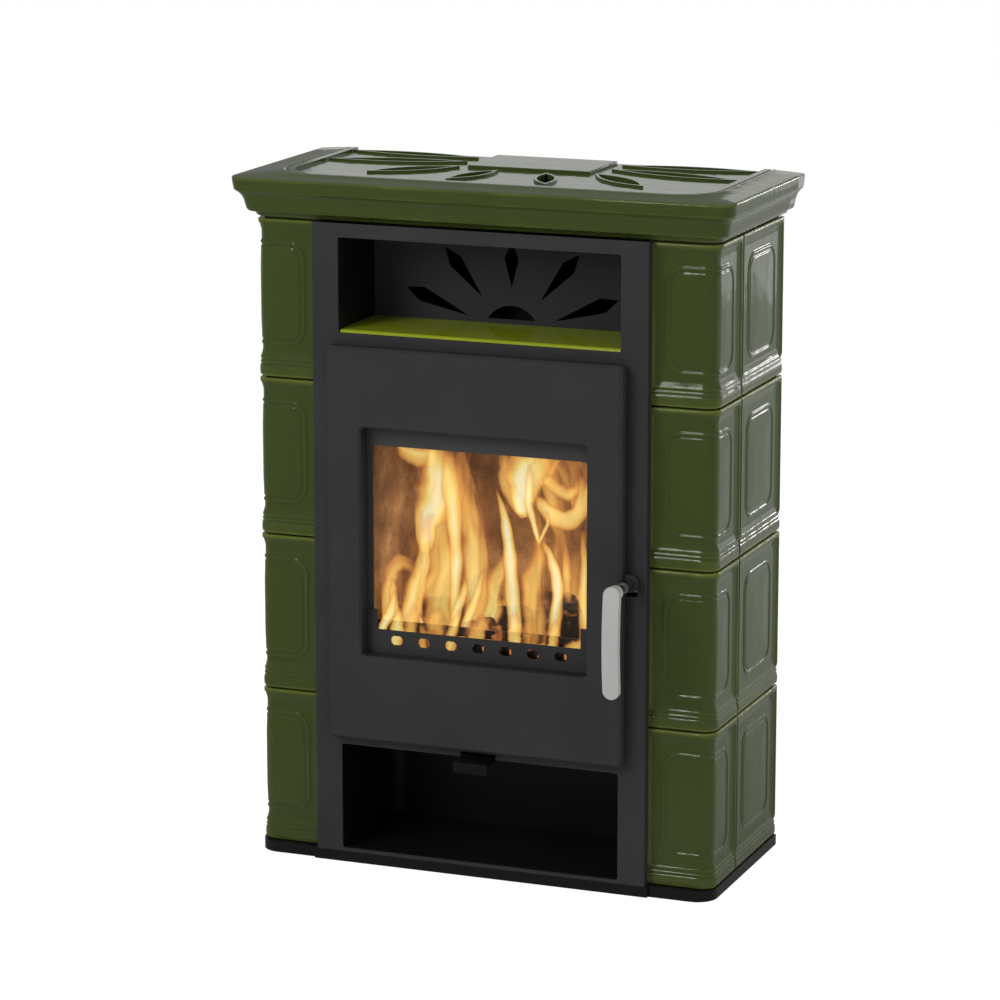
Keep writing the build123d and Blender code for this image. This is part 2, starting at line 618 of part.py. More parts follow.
def crown_top():
    """Pierced top tile: raised border, sunken field and lipped warm-air openings in a fan."""
    z = CROWN_TOP - TOP_TILE_THICKNESS
    field = CROWN_TOP - TOP_FIELD_DROP
    tile = level(z, frame_opening(-TOP_TILE_GAP), TOP_TILE_THICKNESS)
    tile -= level(field, frame_opening(-TOP_TILE_GAP - TOP_BORDER), TOP_FIELD_DROP)
    for tip, end, half_width in LEAVES:
        opening = leaf(tip, end, half_width)
        rim = offset(opening, TOP_LIP, kind=Kind.INTERSECTION)
        tile += both_sides(level(field, rim, TOP_FIELD_DROP - TOP_LIP_DROP))
    for tip, end, half_width in LEAVES:
        tile -= both_sides(level(z, leaf(tip, end, half_width), TOP_TILE_THICKNESS))
    tile -= level(z, cover_plan(COVER_LAP), TOP_TILE_THICKNESS)
    return tile - level(CROWN_TOP - COVER_LAP_DEPTH, cover_plan(0), COVER_LAP_DEPTH)


def crown_cover():
    """Plain cover over the upper flue outlet, stepped so that it rests on the pierced tile."""
    z = CROWN_TOP - TOP_TILE_THICKNESS
    body = level(z, cover_plan(COVER_LAP + TOP_TILE_GAP), TOP_TILE_THICKNESS - COVER_LAP_DEPTH)
    lid = level(CROWN_TOP - COVER_LAP_DEPTH, cover_plan(TOP_TILE_GAP), COVER_LAP_DEPTH)
    return body + lid


write("crown_cornice", crown_cornice())
write("crown_top", crown_top())
write("crown_cover", crown_cover())


# ---------------------------------------------------------------- base and steel body
def base_plate():
    """Steel base: a tray whose wide rim carries the tiles and follows the stepped front."""
    half = HALF_WIDTH + BASE_SIDE_LIP
    front = -BASE_LIP
    radius = CORNER_RADIUS + BASE_LIP
    foot = Pos(0, (front + BODY_DEPTH) / 2) * Rectangle(2 * half, BODY_DEPTH - front)
    foot = fillet(foot.vertices().sort_by(Axis.Y)[:2], radius)
    step = Pos(0, (PANEL_FACE + BODY_DEPTH) / 2) * Rectangle(PANEL_WIDTH + 2 * BASE_STEP,
                                                             BODY_DEPTH - PANEL_FACE)
    plate = level(0, foot + step, BASE_HEIGHT)
    inner = HALF_WIDTH - BASE_RIM
    pocket = block((-inner, inner), (BASE_RIM - BASE_LIP, BODY_DEPTH - BASE_RIM),
                   (BASE_FLOOR, BASE_HEIGHT))
    return plate - pocket


def face_panel():
    """Folded steel front with two niches, the firebox mouth, the latch slot and the slide notch."""
    sheet = Pos(0, (TILE_BOTTOM + TILE_TOP) / 2) * Rectangle(PANEL_WIDTH, TILE_TOP - TILE_BOTTOM)
    sheet -= window(NICHE_WIDTH, WARM_NICHE_BOTTOM, WARM_NICHE_TOP, NICHE_CORNER)
    sheet -= window(NICHE_WIDTH, STORE_BOTTOM, STORE_TOP, NICHE_CORNER)
    sheet -= window(MOUTH_WIDTH, MOUTH_BOTTOM, MOUTH_TOP, NICHE_CORNER)
    slot_height = SLOT_ABOVE + SLOT_BELOW
    slot_middle = HANDLE_Z + (SLOT_ABOVE - SLOT_BELOW) / 2
    sheet -= Pos(HANDLE_X, slot_middle) * Rectangle(2 * SLOT_HALF_WIDTH, slot_height)
    sheet -= Pos(0, STORE_TOP + NOTCH_HEIGHT / 2) * Rectangle(SLIDE_WIDTH + 2 * NOTCH_PLAY, NOTCH_HEIGHT)
    panel = upright(PANEL_BACK, sheet, SHEET)
    for end in (0, -1):
        upright_edges = panel.edges().filter_by(Axis.Z).group_by(Axis.X)[end]
        panel = fillet(upright_edges.sort_by(Axis.Y)[:1], PANEL_EDGE)
    returns = block((HALF_PANEL - SHEET, HALF_PANEL), (PANEL_BACK, -RETURN_SETBACK),
                    (TILE_BOTTOM, TILE_TOP))
    return panel + both_sides(returns)


def carcass_side():
    """Right-hand steel side of the body, with a cut-out behind the latch."""
    side = block((CARCASS_X, CARCASS_X + THIN_SHEET), (PANEL_BACK, REAR_COVER_Y),
                 (BASE_HEIGHT, TILE_TOP))
    return side


def latch_relief():
    """Room behind the steel front in which the latch cam turns."""
    return block((CARCASS_X - THIN_SHEET, CARCASS_X + 2 * THIN_SHEET),
                 (PANEL_BACK, PANEL_BACK + LATCH_RELIEF_DEPTH),
                 (HANDLE_Z - LATCH_RELIEF, HANDLE_Z + LATCH_RELIEF))


def rear_cover():
    """Rear sheet with the flue hole and two rows of convection slots."""
    half = HALF_WIDTH - TILE_WALL
    tongue = FRAME_HALF - CROWN_LEDGE - TOP_TILE_GAP
    shoulder = CROWN_TOP - CROWN_WALL - TOP_TILE_THICKNESS
    head = CROWN_TOP - TOP_TILE_THICKNESS
    sheet = Pos(0, (BASE_HEIGHT + shoulder) / 2) * Rectangle(2 * half, shoulder - BASE_HEIGHT)
    sheet += Pos(0, (BASE_HEIGHT + head) / 2) * Rectangle(2 * tongue, head - BASE_HEIGHT)
    sheet -= Pos(0, FLUE_Z) * Circle(FLUE_RADIUS + FLUE_RING + FLUE_PLAY)
    for row in range(VENT_ROWS):
        for column in range(VENT_COLUMNS):
            x = (column - (VENT_COLUMNS - 1) / 2) * VENT_PITCH
            z = STORE_BOTTOM + VENT_RISE + row * VENT_ROW_PITCH
            sheet -= Pos(x, z) * Rectangle(VENT_LENGTH, VENT_HEIGHT)
    return upright(REAR_COVER_Y + THIN_SHEET, sheet, THIN_SHEET)


def rear_screws():
    """Hexagon screws that hold the rear cover to the carcass sides."""
    screws = []
    low = BASE_HEIGHT + SCREW_FOOT
    pitch = (TILE_TOP - SCREW_HEAD - low) / (SCREWS_PER_SIDE - 1)
    for index in range(SCREWS_PER_SIDE):
        for x in (-CARCASS_X - THIN_SHEET / 2, CARCASS_X + THIN_SHEET / 2):
            head = Pos(x, low + index * pitch) * RegularPolygon(SCREW_RADIUS, 6)
            back = REAR_COVER_Y + THIN_SHEET + SCREW_THICKNESS
            screws.append(upright(back, head, SCREW_THICKNESS))
    return Compound(children=[solid for screw in screws for solid in screw.solids()])


write("base_plate", base_plate())
write("face_panel", face_panel())
write("carcass_side_right", carcass_side() - latch_relief())
write("carcass_side_left", mirror(carcass_side(), about=Plane.YZ))
write("rear_cover", rear_cover())
write("rear_screws", rear_screws())


# ---------------------------------------------------------------- niches
def niche_liner():
    """Warming niche: two cheeks, a ceiling and the ledge that carries the shelf."""
    outer = HALF_NICHE + THIN_SHEET
    rear = PANEL_FACE + WARM_NICHE_DEPTH
    shell = block((-outer, outer), (PANEL_BACK, rear),
                  (LINER_BOTTOM, WARM_NICHE_TOP + THIN_SHEET))
    shell -= block((-HALF_NICHE, HALF_NICHE), (PANEL_BACK, rear),
                   (LINER_BOTTOM + THIN_SHEET, WARM_NICHE_TOP))
    return shell


def ray(angle, tip):
    """One kite-shaped ray of the sun, as seen from the front."""
    shoulder = tip - RAY_POINT
    direction = Vector(cos(radians(angle)), sin(radians(angle)))
    across = Vector(-direction.Y, direction.X) * RAY_HALF_WIDTH
    centre = Vector(0, SUN_CENTRE_Z)
    corners = (
        centre + direction * RAY_INNER,
        centre + direction * shoulder + across,
        centre + direction * tip,
        centre + direction * shoulder - across,
    )
    return outline([(corner.X, corner.Y) for corner in corners])


def sun_grille():
    """Back of the warming niche with a rising sun cut through it."""
    rear = PANEL_FACE + WARM_NICHE_DEPTH + THIN_SHEET
    outer = HALF_NICHE + THIN_SHEET
    top = WARM_NICHE_TOP + THIN_SHEET
    sheet = Pos(0, (LINER_BOTTOM + top) / 2) * Rectangle(2 * outer, top - LINER_BOTTOM)
    disc = Pos(0, SUN_CENTRE_Z) * Circle(SUN_DISC_RADIUS)
    sky = Pos(0, SUN_FOOT_Z + SUN_DISC_RADIUS) * Rectangle(2 * SUN_DISC_RADIUS,
                                                           2 * SUN_DISC_RADIUS)
    sheet -= disc & sky
    for angle, extra in zip(RAY_ANGLES, RAY_EXTRA):
        sheet -= ray(angle, RAY_REACH + extra)
    return upright(rear, sheet, THIN_SHEET)


def shelf_tile():
    """Glazed shelf of the warming niche, with a rounded nose."""
    tile = block((-HALF_NICHE + SHELF_PLAY, HALF_NICHE - SHELF_PLAY),
                 (PANEL_BACK, PANEL_FACE + WARM_NICHE_DEPTH - SHELF_PLAY),
                 (SHELF_TOP - SHELF_THICKNESS, SHELF_TOP))
    nose = tile.edges().filter_by(Axis.X).group_by(Axis.Y)[0].sort_by(Axis.Z)[-1]
    return fillet(nose, SHELF_RISE)


def store_liner():
    """Wood store: one bent sheet round the sides and rear, with floor and ceiling."""
    rear = PANEL_FACE + STORE_DEPTH
    depth = rear - PANEL_BACK

    def plan_of(grow):
        half = HALF_NICHE + grow
        shape = Pos(0, (PANEL_BACK + rear + grow) / 2) * Rectangle(2 * half, depth + grow)
        return fillet(shape.vertices().sort_by(Axis.Y)[-2:], STORE_BEND + grow)

    outer = level(STORE_BOTTOM - THIN_SHEET, plan_of(THIN_SHEET),
                  STORE_TOP - STORE_BOTTOM + 2 * THIN_SHEET)
    inner = level(STORE_BOTTOM, plan_of(0), STORE_TOP - STORE_BOTTOM)
    half = SLIDE_WIDTH / 2 - PORT_MARGIN
    port = block((-half, half), (PORT_Y, PORT_Y + PORT_LENGTH),
                 (STORE_TOP, STORE_TOP + THIN_SHEET))
    return outer - inner - port


write("niche_liner", niche_liner())
write("sun_grille", sun_grille())
write("shelf_tile", shelf_tile())
write("store_liner", store_liner())


# ---------------------------------------------------------------- firebox
def baffle_underside(y):
    """Height of the underside of the sloping baffle at one depth."""
    return BRICK_TOP + BAFFLE_RISE * (INNER_REAR - y) / (INNER_REAR - BAFFLE_FRONT)


def port_hole(z_span):
    """The air port that runs from the slide up into the firebox."""
    half = SLIDE_WIDTH / 2 - PORT_MARGIN
    return block((-half, half), (PORT_Y, PORT_Y + PORT_LENGTH), z_span)


def firebox_shell():
    """Welded firebox: open mouth, hearth ledges, flue outlet and the collar of the air port."""
    outer = block((-FIREBOX_WIDTH / 2, FIREBOX_WIDTH / 2), (PANEL_BACK, FIREBOX_REAR),
                  (FIREBOX_BOTTOM, FIREBOX_TOP))
    inner = block((-INNER_HALF, INNER_HALF), (PANEL_BACK, INNER_REAR),
                  (FIREBOX_BOTTOM + FIREBOX_SHEET, FIREBOX_TOP - FIREBOX_SHEET))
    outlet = Pos(0, FLUE_Y, FIREBOX_TOP) * Cylinder(FLUE_RADIUS - FLUE_WALL, 4 * FIREBOX_SHEET)
    ledge = block((INNER_HALF - HEARTH_LEDGE, INNER_HALF), (MOUTH_Y, INNER_REAR),
                  (HEARTH_BOTTOM - FIREBOX_SHEET, HEARTH_BOTTOM))
    collar_half = SLIDE_WIDTH / 2 - PORT_MARGIN + FIREBOX_SHEET
    collar = block((-collar_half, collar_half),
                   (PORT_Y - FIREBOX_SHEET, PORT_Y + PORT_LENGTH + FIREBOX_SHEET),
                   (STORE_TOP + THIN_SHEET, FIREBOX_BOTTOM))
    shell = outer - inner - outlet + both_sides(ledge) + collar
    return shell - port_hole((STORE_TOP, FIREBOX_BOTTOM + FIREBOX_SHEET))


def wall_brick():
    """Right-hand wall brick whose sloping top carries the baffle."""
    side = outline([(MOUTH_Y, HEARTH_TOP), (INNER_REAR - BRICK, HEARTH_TOP),
                    (INNER_REAR - BRICK, baffle_underside(INNER_REAR - BRICK)),
                    (BAFFLE_FRONT, BRICK_TOP + BAFFLE_RISE), (MOUTH_Y, BRICK_TOP + BAFFLE_RISE)])
    return Pos(INNER_HALF - BRICK, 0, 0) * extrude(Plane.YZ * side, amount=BRICK)


def back_brick():
    """Rear brick with upright grooves and a top that follows the baffle."""
    side = outline([(INNER_REAR - BRICK, HEARTH_TOP), (INNER_REAR, HEARTH_TOP),
                    (INNER_REAR, BRICK_TOP),
                    (INNER_REAR - BRICK, baffle_underside(INNER_REAR - BRICK))])
    brick = extrude(Plane.YZ * side, amount=INNER_HALF, both=True)
    face = INNER_REAR - BRICK
    for index in range(-2, 3):
        x = index * GROOVE_PITCH
        brick -= block((x - GROOVE / 2, x + GROOVE / 2), (face, face + GROOVE_DEPTH),
                       (HEARTH_TOP, BRICK_TOP + BAFFLE_RISE))
    return brick


def hearth_brick():
    """Hearth round the grate, its edges sloping down to the grate."""
    brick = block((-INNER_HALF, INNER_HALF), (MOUTH_Y, INNER_REAR),
                  (HEARTH_BOTTOM, HEARTH_TOP))
    seat = GRATE_SUNK + GRATE_THICKNESS
    brick -= Pos(0, GRATE_Y, HEARTH_TOP - seat / 2) * Box(
        GRATE_WIDTH + 2 * GRATE_PLAY, GRATE_DEPTH + 2 * GRATE_PLAY, seat)
    brick -= Pos(0, GRATE_Y, HEARTH_BOTTOM) * Box(
        GRATE_WIDTH - 2 * GRATE_RIM, GRATE_DEPTH - 2 * GRATE_RIM, 4 * HEARTH_THICKNESS)
    return brick


def grate():
    """Cast grate: a frame with bars from front to rear."""
    plan_shape = Rectangle(GRATE_WIDTH, GRATE_DEPTH)
    inside = GRATE_WIDTH - 2 * GRATE_RIM
    plan_shape -= Rectangle(inside, GRATE_DEPTH - 2 * GRATE_RIM)
    pitch = inside / (GRATE_BARS + 1)
    for index in range(GRATE_BARS):
        x = -inside / 2 + (index + 1) * pitch
        plan_shape += Pos(x, 0) * Rectangle(GRATE_BAR, GRATE_DEPTH - GRATE_RIM)
    z = HEARTH_TOP - GRATE_SUNK - GRATE_THICKNESS
    return level(z, Pos(0, GRATE_Y) * plan_shape, GRATE_THICKNESS)


def baffle():
    """Sloping deflector over the fire, resting on the wall bricks and the rear brick."""
    side = outline([(BAFFLE_FRONT, baffle_underside(BAFFLE_FRONT)), (INNER_REAR, BRICK_TOP),
                    (INNER_REAR, BRICK_TOP + BAFFLE_THICKNESS),
                    (BAFFLE_FRONT, baffle_underside(BAFFLE_FRONT) + BAFFLE_THICKNESS)])
    return extrude(Plane.YZ * side, amount=INNER_HALF - 1.0, both=True)


def log_guard():
    """Low cast guard behind the glass that keeps logs off it, with upright slots."""
    middle = HEARTH_TOP + LOG_GUARD_HEIGHT / 2
    width = 2 * (INNER_HALF - BRICK - SHELF_PLAY)
    sheet = Pos(0, middle) * Rectangle(width, LOG_GUARD_HEIGHT)
    for index in range(LOG_GUARD_SLOTS):
        x = (index - (LOG_GUARD_SLOTS - 1) / 2) * LOG_GUARD_PITCH
        sheet -= Pos(x, middle) * Rectangle(*LOG_GUARD_SLOT)
    back = MOUTH_Y + LOG_GUARD_SET_BACK + LOG_GUARD_THICKNESS
    return upright(back, sheet, LOG_GUARD_THICKNESS)


def ash_pan():
    """Folded ash pan standing on two runners on the firebox floor."""
    half = INNER_HALF - PAN_MARGIN
    front = MOUTH_Y + PAN_FRONT
    rear = INNER_REAR - PAN_REAR
    low = FIREBOX_BOTTOM + FIREBOX_SHEET
    foot = low + PAN_LIFT
    pan = block((-half, half), (front, rear), (foot, foot + PAN_HEIGHT))
    pan -= block((-half + PAN_SHEET, half - PAN_SHEET), (front + PAN_SHEET, rear - PAN_SHEET),
                 (foot + PAN_SHEET, foot + PAN_HEIGHT))
    runner = block((half - 2 * PAN_RUNNER, half - PAN_RUNNER), (front, rear), (low, foot))
    return pan + both_sides(runner)


def flue_tee():
    """Flue tee: rises from the firebox and leaves to the rear as a spigot with a stop ring."""

    def branch(radius):
        riser = rod(radius, (0, FLUE_Y, FIREBOX_TOP), (0, FLUE_Y, FLUE_TOP))
        spigot = rod(radius, (0, FLUE_Y, FLUE_Z), (0, FLUE_END, FLUE_Z))
        return riser + spigot

    ring = rod(FLUE_RADIUS + FLUE_RING, (0, REAR_END - FLUE_RING_LENGTH, FLUE_Z),
               (0, REAR_END, FLUE_Z))
    return branch(FLUE_RADIUS) + ring - branch(FLUE_RADIUS - FLUE_WALL)


def flue_cap():
    """Blanking cap on the unused upper outlet."""
    disc = rod(FLUE_RADIUS + CAP_LAP, (0, FLUE_Y, FLUE_TOP), (0, FLUE_Y, FLUE_TOP + SHEET))
    plug = rod(FLUE_RADIUS - FLUE_WALL - CAP_PLAY, (0, FLUE_Y, FLUE_TOP - CAP_PLUG),
               (0, FLUE_Y, FLUE_TOP))
    return disc + plug


write("firebox_shell", firebox_shell())
write("brick_right", wall_brick())
write("brick_left", mirror(wall_brick(), about=Plane.YZ))
write("brick_back", back_brick())
write("hearth_brick", hearth_brick())
write("grate", grate())
write("baffle", baffle())
write("log_guard", log_guard())
write("ash_pan", ash_pan())
write("flue_tee", flue_tee())
write("flue_cap", flue_cap())


# ---------------------------------------------------------------- fire door
def door_leaf():
    """Outer door pan with a deep window reveal and notches for the hinge arms."""
    back = DOOR_BACK
    leaf_face = window(DOOR_WIDTH, DOOR_BOTTOM, DOOR_TOP, DOOR_CORNER)
    pan = upright(back, leaf_face, back - DOOR_FACE)
    pan = chamfer(pan.faces().sort_by(Axis.Y)[0].edges(), DOOR_BEVEL)
    hollow = window(DOOR_WIDTH - 2 * SHEET, DOOR_BOTTOM + SHEET, DOOR_TOP - SHEET,
                    DOOR_CORNER - SHEET)
    pan -= upright(back, hollow, back - DOOR_FACE - SHEET)
    reveal = window(WINDOW_WIDTH + 2 * SHEET, WINDOW_BOTTOM - SHEET, WINDOW_TOP + SHEET,
                    WINDOW_CORNER + SHEET)
    pan += upright(SEAT_Y, reveal, SEAT_Y - DOOR_FACE - SHEET)
    opening = window(WINDOW_WIDTH, WINDOW_BOTTOM, WINDOW_TOP, WINDOW_CORNER)
    pan -= upright(SEAT_Y, opening, SEAT_Y - DOOR_FACE)
    lip = pan.faces().sort_by(Axis.Y)[0].inner_wires()[0].edges()
    pan = chamfer(lip, LIP_BEVEL)
    # The hinge edge is cut back so that it clears the steel front as it turns
    pan -= block((-HALF_DOOR, HINGE_X - HINGE_CUT_PLAY), (back - DOOR_EDGE_CUT, back),
                 (DOOR_BOTTOM, DOOR_TOP))
    for z in HINGE_HEIGHTS:
        pan -= block((-HALF_DOOR, -HALF_DOOR + SHEET), (DOOR_FACE + DOOR_BEVEL, back),
                     (z - HINGE_NOTCH, z + HINGE_BRACKET_HEIGHT + HINGE_NOTCH_PLAY))
    return pan


def door_inner_frame():
    """Inner door frame: gasket flange, plug wall and the seat of the glass."""
    plug = window(THROAT_WIDTH, THROAT_BOTTOM, THROAT_TOP, THROAT_CORNER)
    bore = window(THROAT_WIDTH - 2 * THROAT_WALL, THROAT_BOTTOM + THROAT_WALL,
                  THROAT_TOP - THROAT_WALL, THROAT_CORNER - THROAT_WALL)
    flange = window(THROAT_WIDTH + 2 * THROAT_FLANGE, THROAT_BOTTOM - THROAT_FLANGE,
                    THROAT_TOP + THROAT_FLANGE, THROAT_CORNER)
    plug_end = GLASS_BACK + THROAT_END
    frame = upright(FLANGE_FRONT + THROAT_WALL, flange - bore, THROAT_WALL)
    frame += upright(plug_end, plug - bore, plug_end - FLANGE_FRONT)
    return frame + upright(SEAT_Y + SHEET, plug - glass_window(0), SHEET)


def door_gasket():
    """Rope seal pressed between the door's flange and the steel front."""
    start = FLANGE_FRONT + THROAT_WALL
    end = PANEL_FACE - GASKET_PLAY
    reach = GASKET_INSET + GASKET_WIDTH
    outer_ring = window(THROAT_WIDTH + 2 * reach, THROAT_BOTTOM - reach, THROAT_TOP + reach,
                        THROAT_CORNER)
    inner_ring = window(THROAT_WIDTH + 2 * GASKET_INSET, THROAT_BOTTOM - GASKET_INSET,
                        THROAT_TOP + GASKET_INSET, THROAT_CORNER)
    return upright(end, outer_ring - inner_ring, end - start)


def glass_window(grow):
    """Outline of the glass opening grown by a lap."""
    return window(GLASS_OPENING_WIDTH + 2 * grow, GLASS_OPENING_BOTTOM - grow,
                  GLASS_OPENING_TOP + grow, GLASS_CORNER)


def glass_clips():
    """Four clips that hold the glass from behind."""
    foot_x = GLASS_OPENING_WIDTH / 2 + GLASS_LAP + CLIP_PLAY
    foot_end = foot_x + CLIP_FOOT
    clips = []
    for z in (GLASS_OPENING_BOTTOM + CLIP_INSET, GLASS_OPENING_TOP - CLIP_INSET):
        z_span = (z - CLIP_HEIGHT / 2, z + CLIP_HEIGHT / 2)
        foot = block((foot_x, foot_end), (SEAT_Y + SHEET, GLASS_BACK), z_span)
        tongue = block((foot_x - CLIP_LAP, foot_end), (GLASS_BACK, GLASS_BACK + CLIP_SHEET),
                       z_span)
        head = Pos((foot_x + foot_end) / 2, z) * RegularPolygon(CLIP_FOOT / 2 - CLIP_PLAY, 6)
        screw = upright(GLASS_BACK + 2 * CLIP_SHEET, head, CLIP_SHEET)
        clips.append(both_sides(foot + tongue + screw))
    return Compound(children=[solid for clip in clips for solid in clip.solids()])


def window_guard():
    """Strip with seven eased holes at the foot of the window, with upturned ends."""
    inside = window(WINDOW_WIDTH - 2 * GUARD_PLAY, WINDOW_BOTTOM + GUARD_PLAY, WINDOW_TOP,
                    WINDOW_CORNER)
    strip = Pos(0, WINDOW_BOTTOM + GUARD_HEIGHT / 2) * Rectangle(WINDOW_WIDTH, GUARD_HEIGHT)
    for side in (-1, 1):
        x = side * (WINDOW_WIDTH - GUARD_TAB_WIDTH) / 2
        strip += Pos(x, WINDOW_BOTTOM + GUARD_TAB_HEIGHT / 2) * Rectangle(
            GUARD_TAB_WIDTH, GUARD_TAB_HEIGHT)
    for index in range(GUARD_HOLES):
        x = (index - (GUARD_HOLES - 1) / 2) * GUARD_HOLE_PITCH
        strip -= Pos(x, WINDOW_BOTTOM + GUARD_HOLE_RISE) * cut_corners(
            *GUARD_HOLE_SIZE, GUARD_HOLE_CORNER)
    foot = Pos(0, WINDOW_BOTTOM + GUARD_SHEET) * Rectangle(WINDOW_WIDTH, 2 * GUARD_SHEET)
    guard_back = SEAT_Y - GUARD_SHEET
    plate = upright(guard_back, strip & inside, GUARD_SHEET)
    return plate + upright(SEAT_Y, foot & inside, GUARD_SHEET)


def hinge_arm(z):
    """Arm welded to the steel front that carries one hinge pin."""
    shape = Pos(HINGE_X, HINGE_Y) * Circle(HINGE_ARM_HALF)
    shape += Pos(HINGE_X, (PANEL_FACE + HINGE_Y) / 2) * Rectangle(
        2 * HINGE_ARM_HALF, PANEL_FACE - HINGE_Y)
    shape -= Pos(HINGE_X, HINGE_Y) * Circle(HINGE_PIN_RADIUS)
    return level(z, shape, HINGE_BRACKET_HEIGHT)


def hinge_eye(z):
    """Eye on the door that turns on one hinge pin, above its arm."""
    foot_x = -HALF_DOOR + SHEET
    low = z + HINGE_BRACKET_HEIGHT + HINGE_LIFT
    shape = Pos(HINGE_X, HINGE_Y) * Circle(HINGE_ARM_HALF)
    shape += Pos((foot_x + HINGE_X) / 2, HINGE_Y) * Rectangle(HINGE_X - foot_x,
                                                              2 * HINGE_ARM_HALF)
    shape -= Pos(HINGE_X, HINGE_Y) * Circle(HINGE_PIN_RADIUS + HINGE_CLEARANCE)
    return level(low, shape, HINGE_EYE_HEIGHT)


def hinge_pin(z):
    """Pin that stands in one arm and reaches up through the eye."""
    top = z + HINGE_BRACKET_HEIGHT + HINGE_EYE_HEIGHT - HINGE_PIN_SHORT
    return rod(HINGE_PIN_RADIUS, (HINGE_X, HINGE_Y, z), (HINGE_X, HINGE_Y, top))


def pair(maker):
    """The same hinge piece at both heights."""
    return Compound(children=[solid for z in HINGE_HEIGHTS for solid in maker(z).solids()])


write("door_leaf", door_leaf())
write("door_inner_frame", door_inner_frame())
write("door_gasket", door_gasket())
write("door_glass", upright(GLASS_BACK, glass_window(GLASS_LAP), GLASS_THICKNESS))
write("glass_seal", upright(GLASS_FRONT, glass_window(GLASS_LAP) - glass_window(SEAL_INSET), GLASS_SEAL))
write("glass_clips", glass_clips())
write("window_guard", window_guard())
write("hinge_brackets", pair(hinge_arm))
write("hinge_pins", pair(hinge_pin))
write("hinge_eyes", pair(hinge_eye))


# ---------------------------------------------------------------- latch and handle
LUG_FRONT = DOOR_BACK - LUG_THICKNESS
SHAFT_END = PANEL_BACK + KEEPER_THICKNESS + CAM_PLAY + CAM_THICKNESS


def handle_bearing():
    """Rounded lug on the door's edge in which the handle shaft turns."""
    shape = Pos(HANDLE_X, HANDLE_Z) * Circle(LUG_RADIUS)
    shape += Pos((HALF_DOOR + HANDLE_X) / 2, HANDLE_Z) * Rectangle(
        HANDLE_X - HALF_DOOR, 2 * LUG_RADIUS)
    edge_side = Pos(HALF_DOOR - LUG_RADIUS, HANDLE_Z) * Rectangle(2 * LUG_RADIUS, 4 * LUG_RADIUS)
    shape -= edge_side
    shape -= Pos(HANDLE_X, HANDLE_Z) * Circle(SHAFT_RADIUS + SHAFT_CLEARANCE)
    return upright(DOOR_BACK, shape, LUG_THICKNESS)


def handle_shaft():
    """Shaft with its hub, from the latch cam to the grip."""
    shaft = rod(SHAFT_RADIUS, (HANDLE_X, SHAFT_END, HANDLE_Z), (HANDLE_X, GRIP_BACK, HANDLE_Z))
    hub_start = LUG_FRONT - LUG_PLAY
    hub = rod(HUB_RADIUS, (HANDLE_X, hub_start, HANDLE_Z),
              (HANDLE_X, hub_start - HUB_LENGTH, HANDLE_Z))
    hub = chamfer(hub.edges().sort_by(Axis.Y)[:1], HUB_BEVEL)
    return shaft + hub


def handle_grip():
    """Flat grip, rounded at both ends, bowed towards the hand, with a boss for the shaft."""
    top_centre = HANDLE_Z
    bottom_centre = HANDLE_Z + GRIP_WIDTH / 2 - GRIP_LENGTH + GRIP_WIDTH / 2
    middle = (top_centre + bottom_centre) / 2
    front_view = Pos(HANDLE_X, middle) * Rectangle(GRIP_WIDTH, top_centre - bottom_centre)
    front_view += Pos(HANDLE_X, top_centre) * Circle(GRIP_WIDTH / 2)
    front_view += Pos(HANDLE_X, bottom_centre) * Circle(GRIP_WIDTH / 2)
    stadium = upright(GRIP_BACK, front_view, GRIP_THICKNESS + GRIP_BOW)
    low = bottom_centre - GRIP_WIDTH / 2
    high = top_centre + GRIP_WIDTH / 2
    face = GRIP_FACE
    front_arc = ThreePointArc((face, low), (face - GRIP_BOW, middle), (face, high))
    back_arc = ThreePointArc((GRIP_BACK, high), (GRIP_BACK - GRIP_BOW, middle), (GRIP_BACK, low))
    side_view = make_face(Wire([
        front_arc,
        Line((face, high), (GRIP_BACK, high)),
        back_arc,
        Line((GRIP_BACK, low), (face, low)),
    ]))
    slab = Pos(HANDLE_X, 0, 0) * extrude(Plane.YZ * side_view, amount=GRIP_WIDTH, both=True)
    grip = stadium & slab
    boss_end = GRIP_BACK + BOSS_LENGTH
    boss = rod(BOSS_RADIUS, (HANDLE_X, boss_end, HANDLE_Z),
               (HANDLE_X, GRIP_BACK - GRIP_BOW / 2, HANDLE_Z))
    bore = rod(SHAFT_RADIUS, (HANDLE_X, boss_end, HANDLE_Z), (HANDLE_X, GRIP_BACK, HANDLE_Z))
    return grip + boss - bore


def latch_cam():
    """Cam on the rear end of the shaft whose nose turns behind the keeper."""
    shape = Pos(HANDLE_X, HANDLE_Z) * Circle(CAM_RADIUS)
    nose = Rectangle(2 * CAM_HALF_WIDTH, CAM_NOSE)
    shape += Pos(HANDLE_X, HANDLE_Z - CAM_NOSE / 2) * nose
    shape -= Pos(HANDLE_X, HANDLE_Z) * Circle(SHAFT_RADIUS)
    return upright(SHAFT_END, shape, CAM_THICKNESS)


def latch_keeper():
    """Wear plate behind the hinge-side edge of the latch slot."""
    edge = HANDLE_X - SLOT_HALF_WIDTH
    return block((edge - KEEPER_WIDTH, edge), (PANEL_BACK, PANEL_BACK + KEEPER_THICKNESS),
                 (HANDLE_Z - SLOT_BELOW, HANDLE_Z))


write("handle_bearing", handle_bearing())
write("handle_shaft", handle_shaft())
write("handle_grip", handle_grip())
write("latch_cam", latch_cam())
write("latch_keeper", latch_keeper())


# ---------------------------------------------------------------- air slide
SLIDE_TOP = STORE_TOP - SLIDE_PLAY


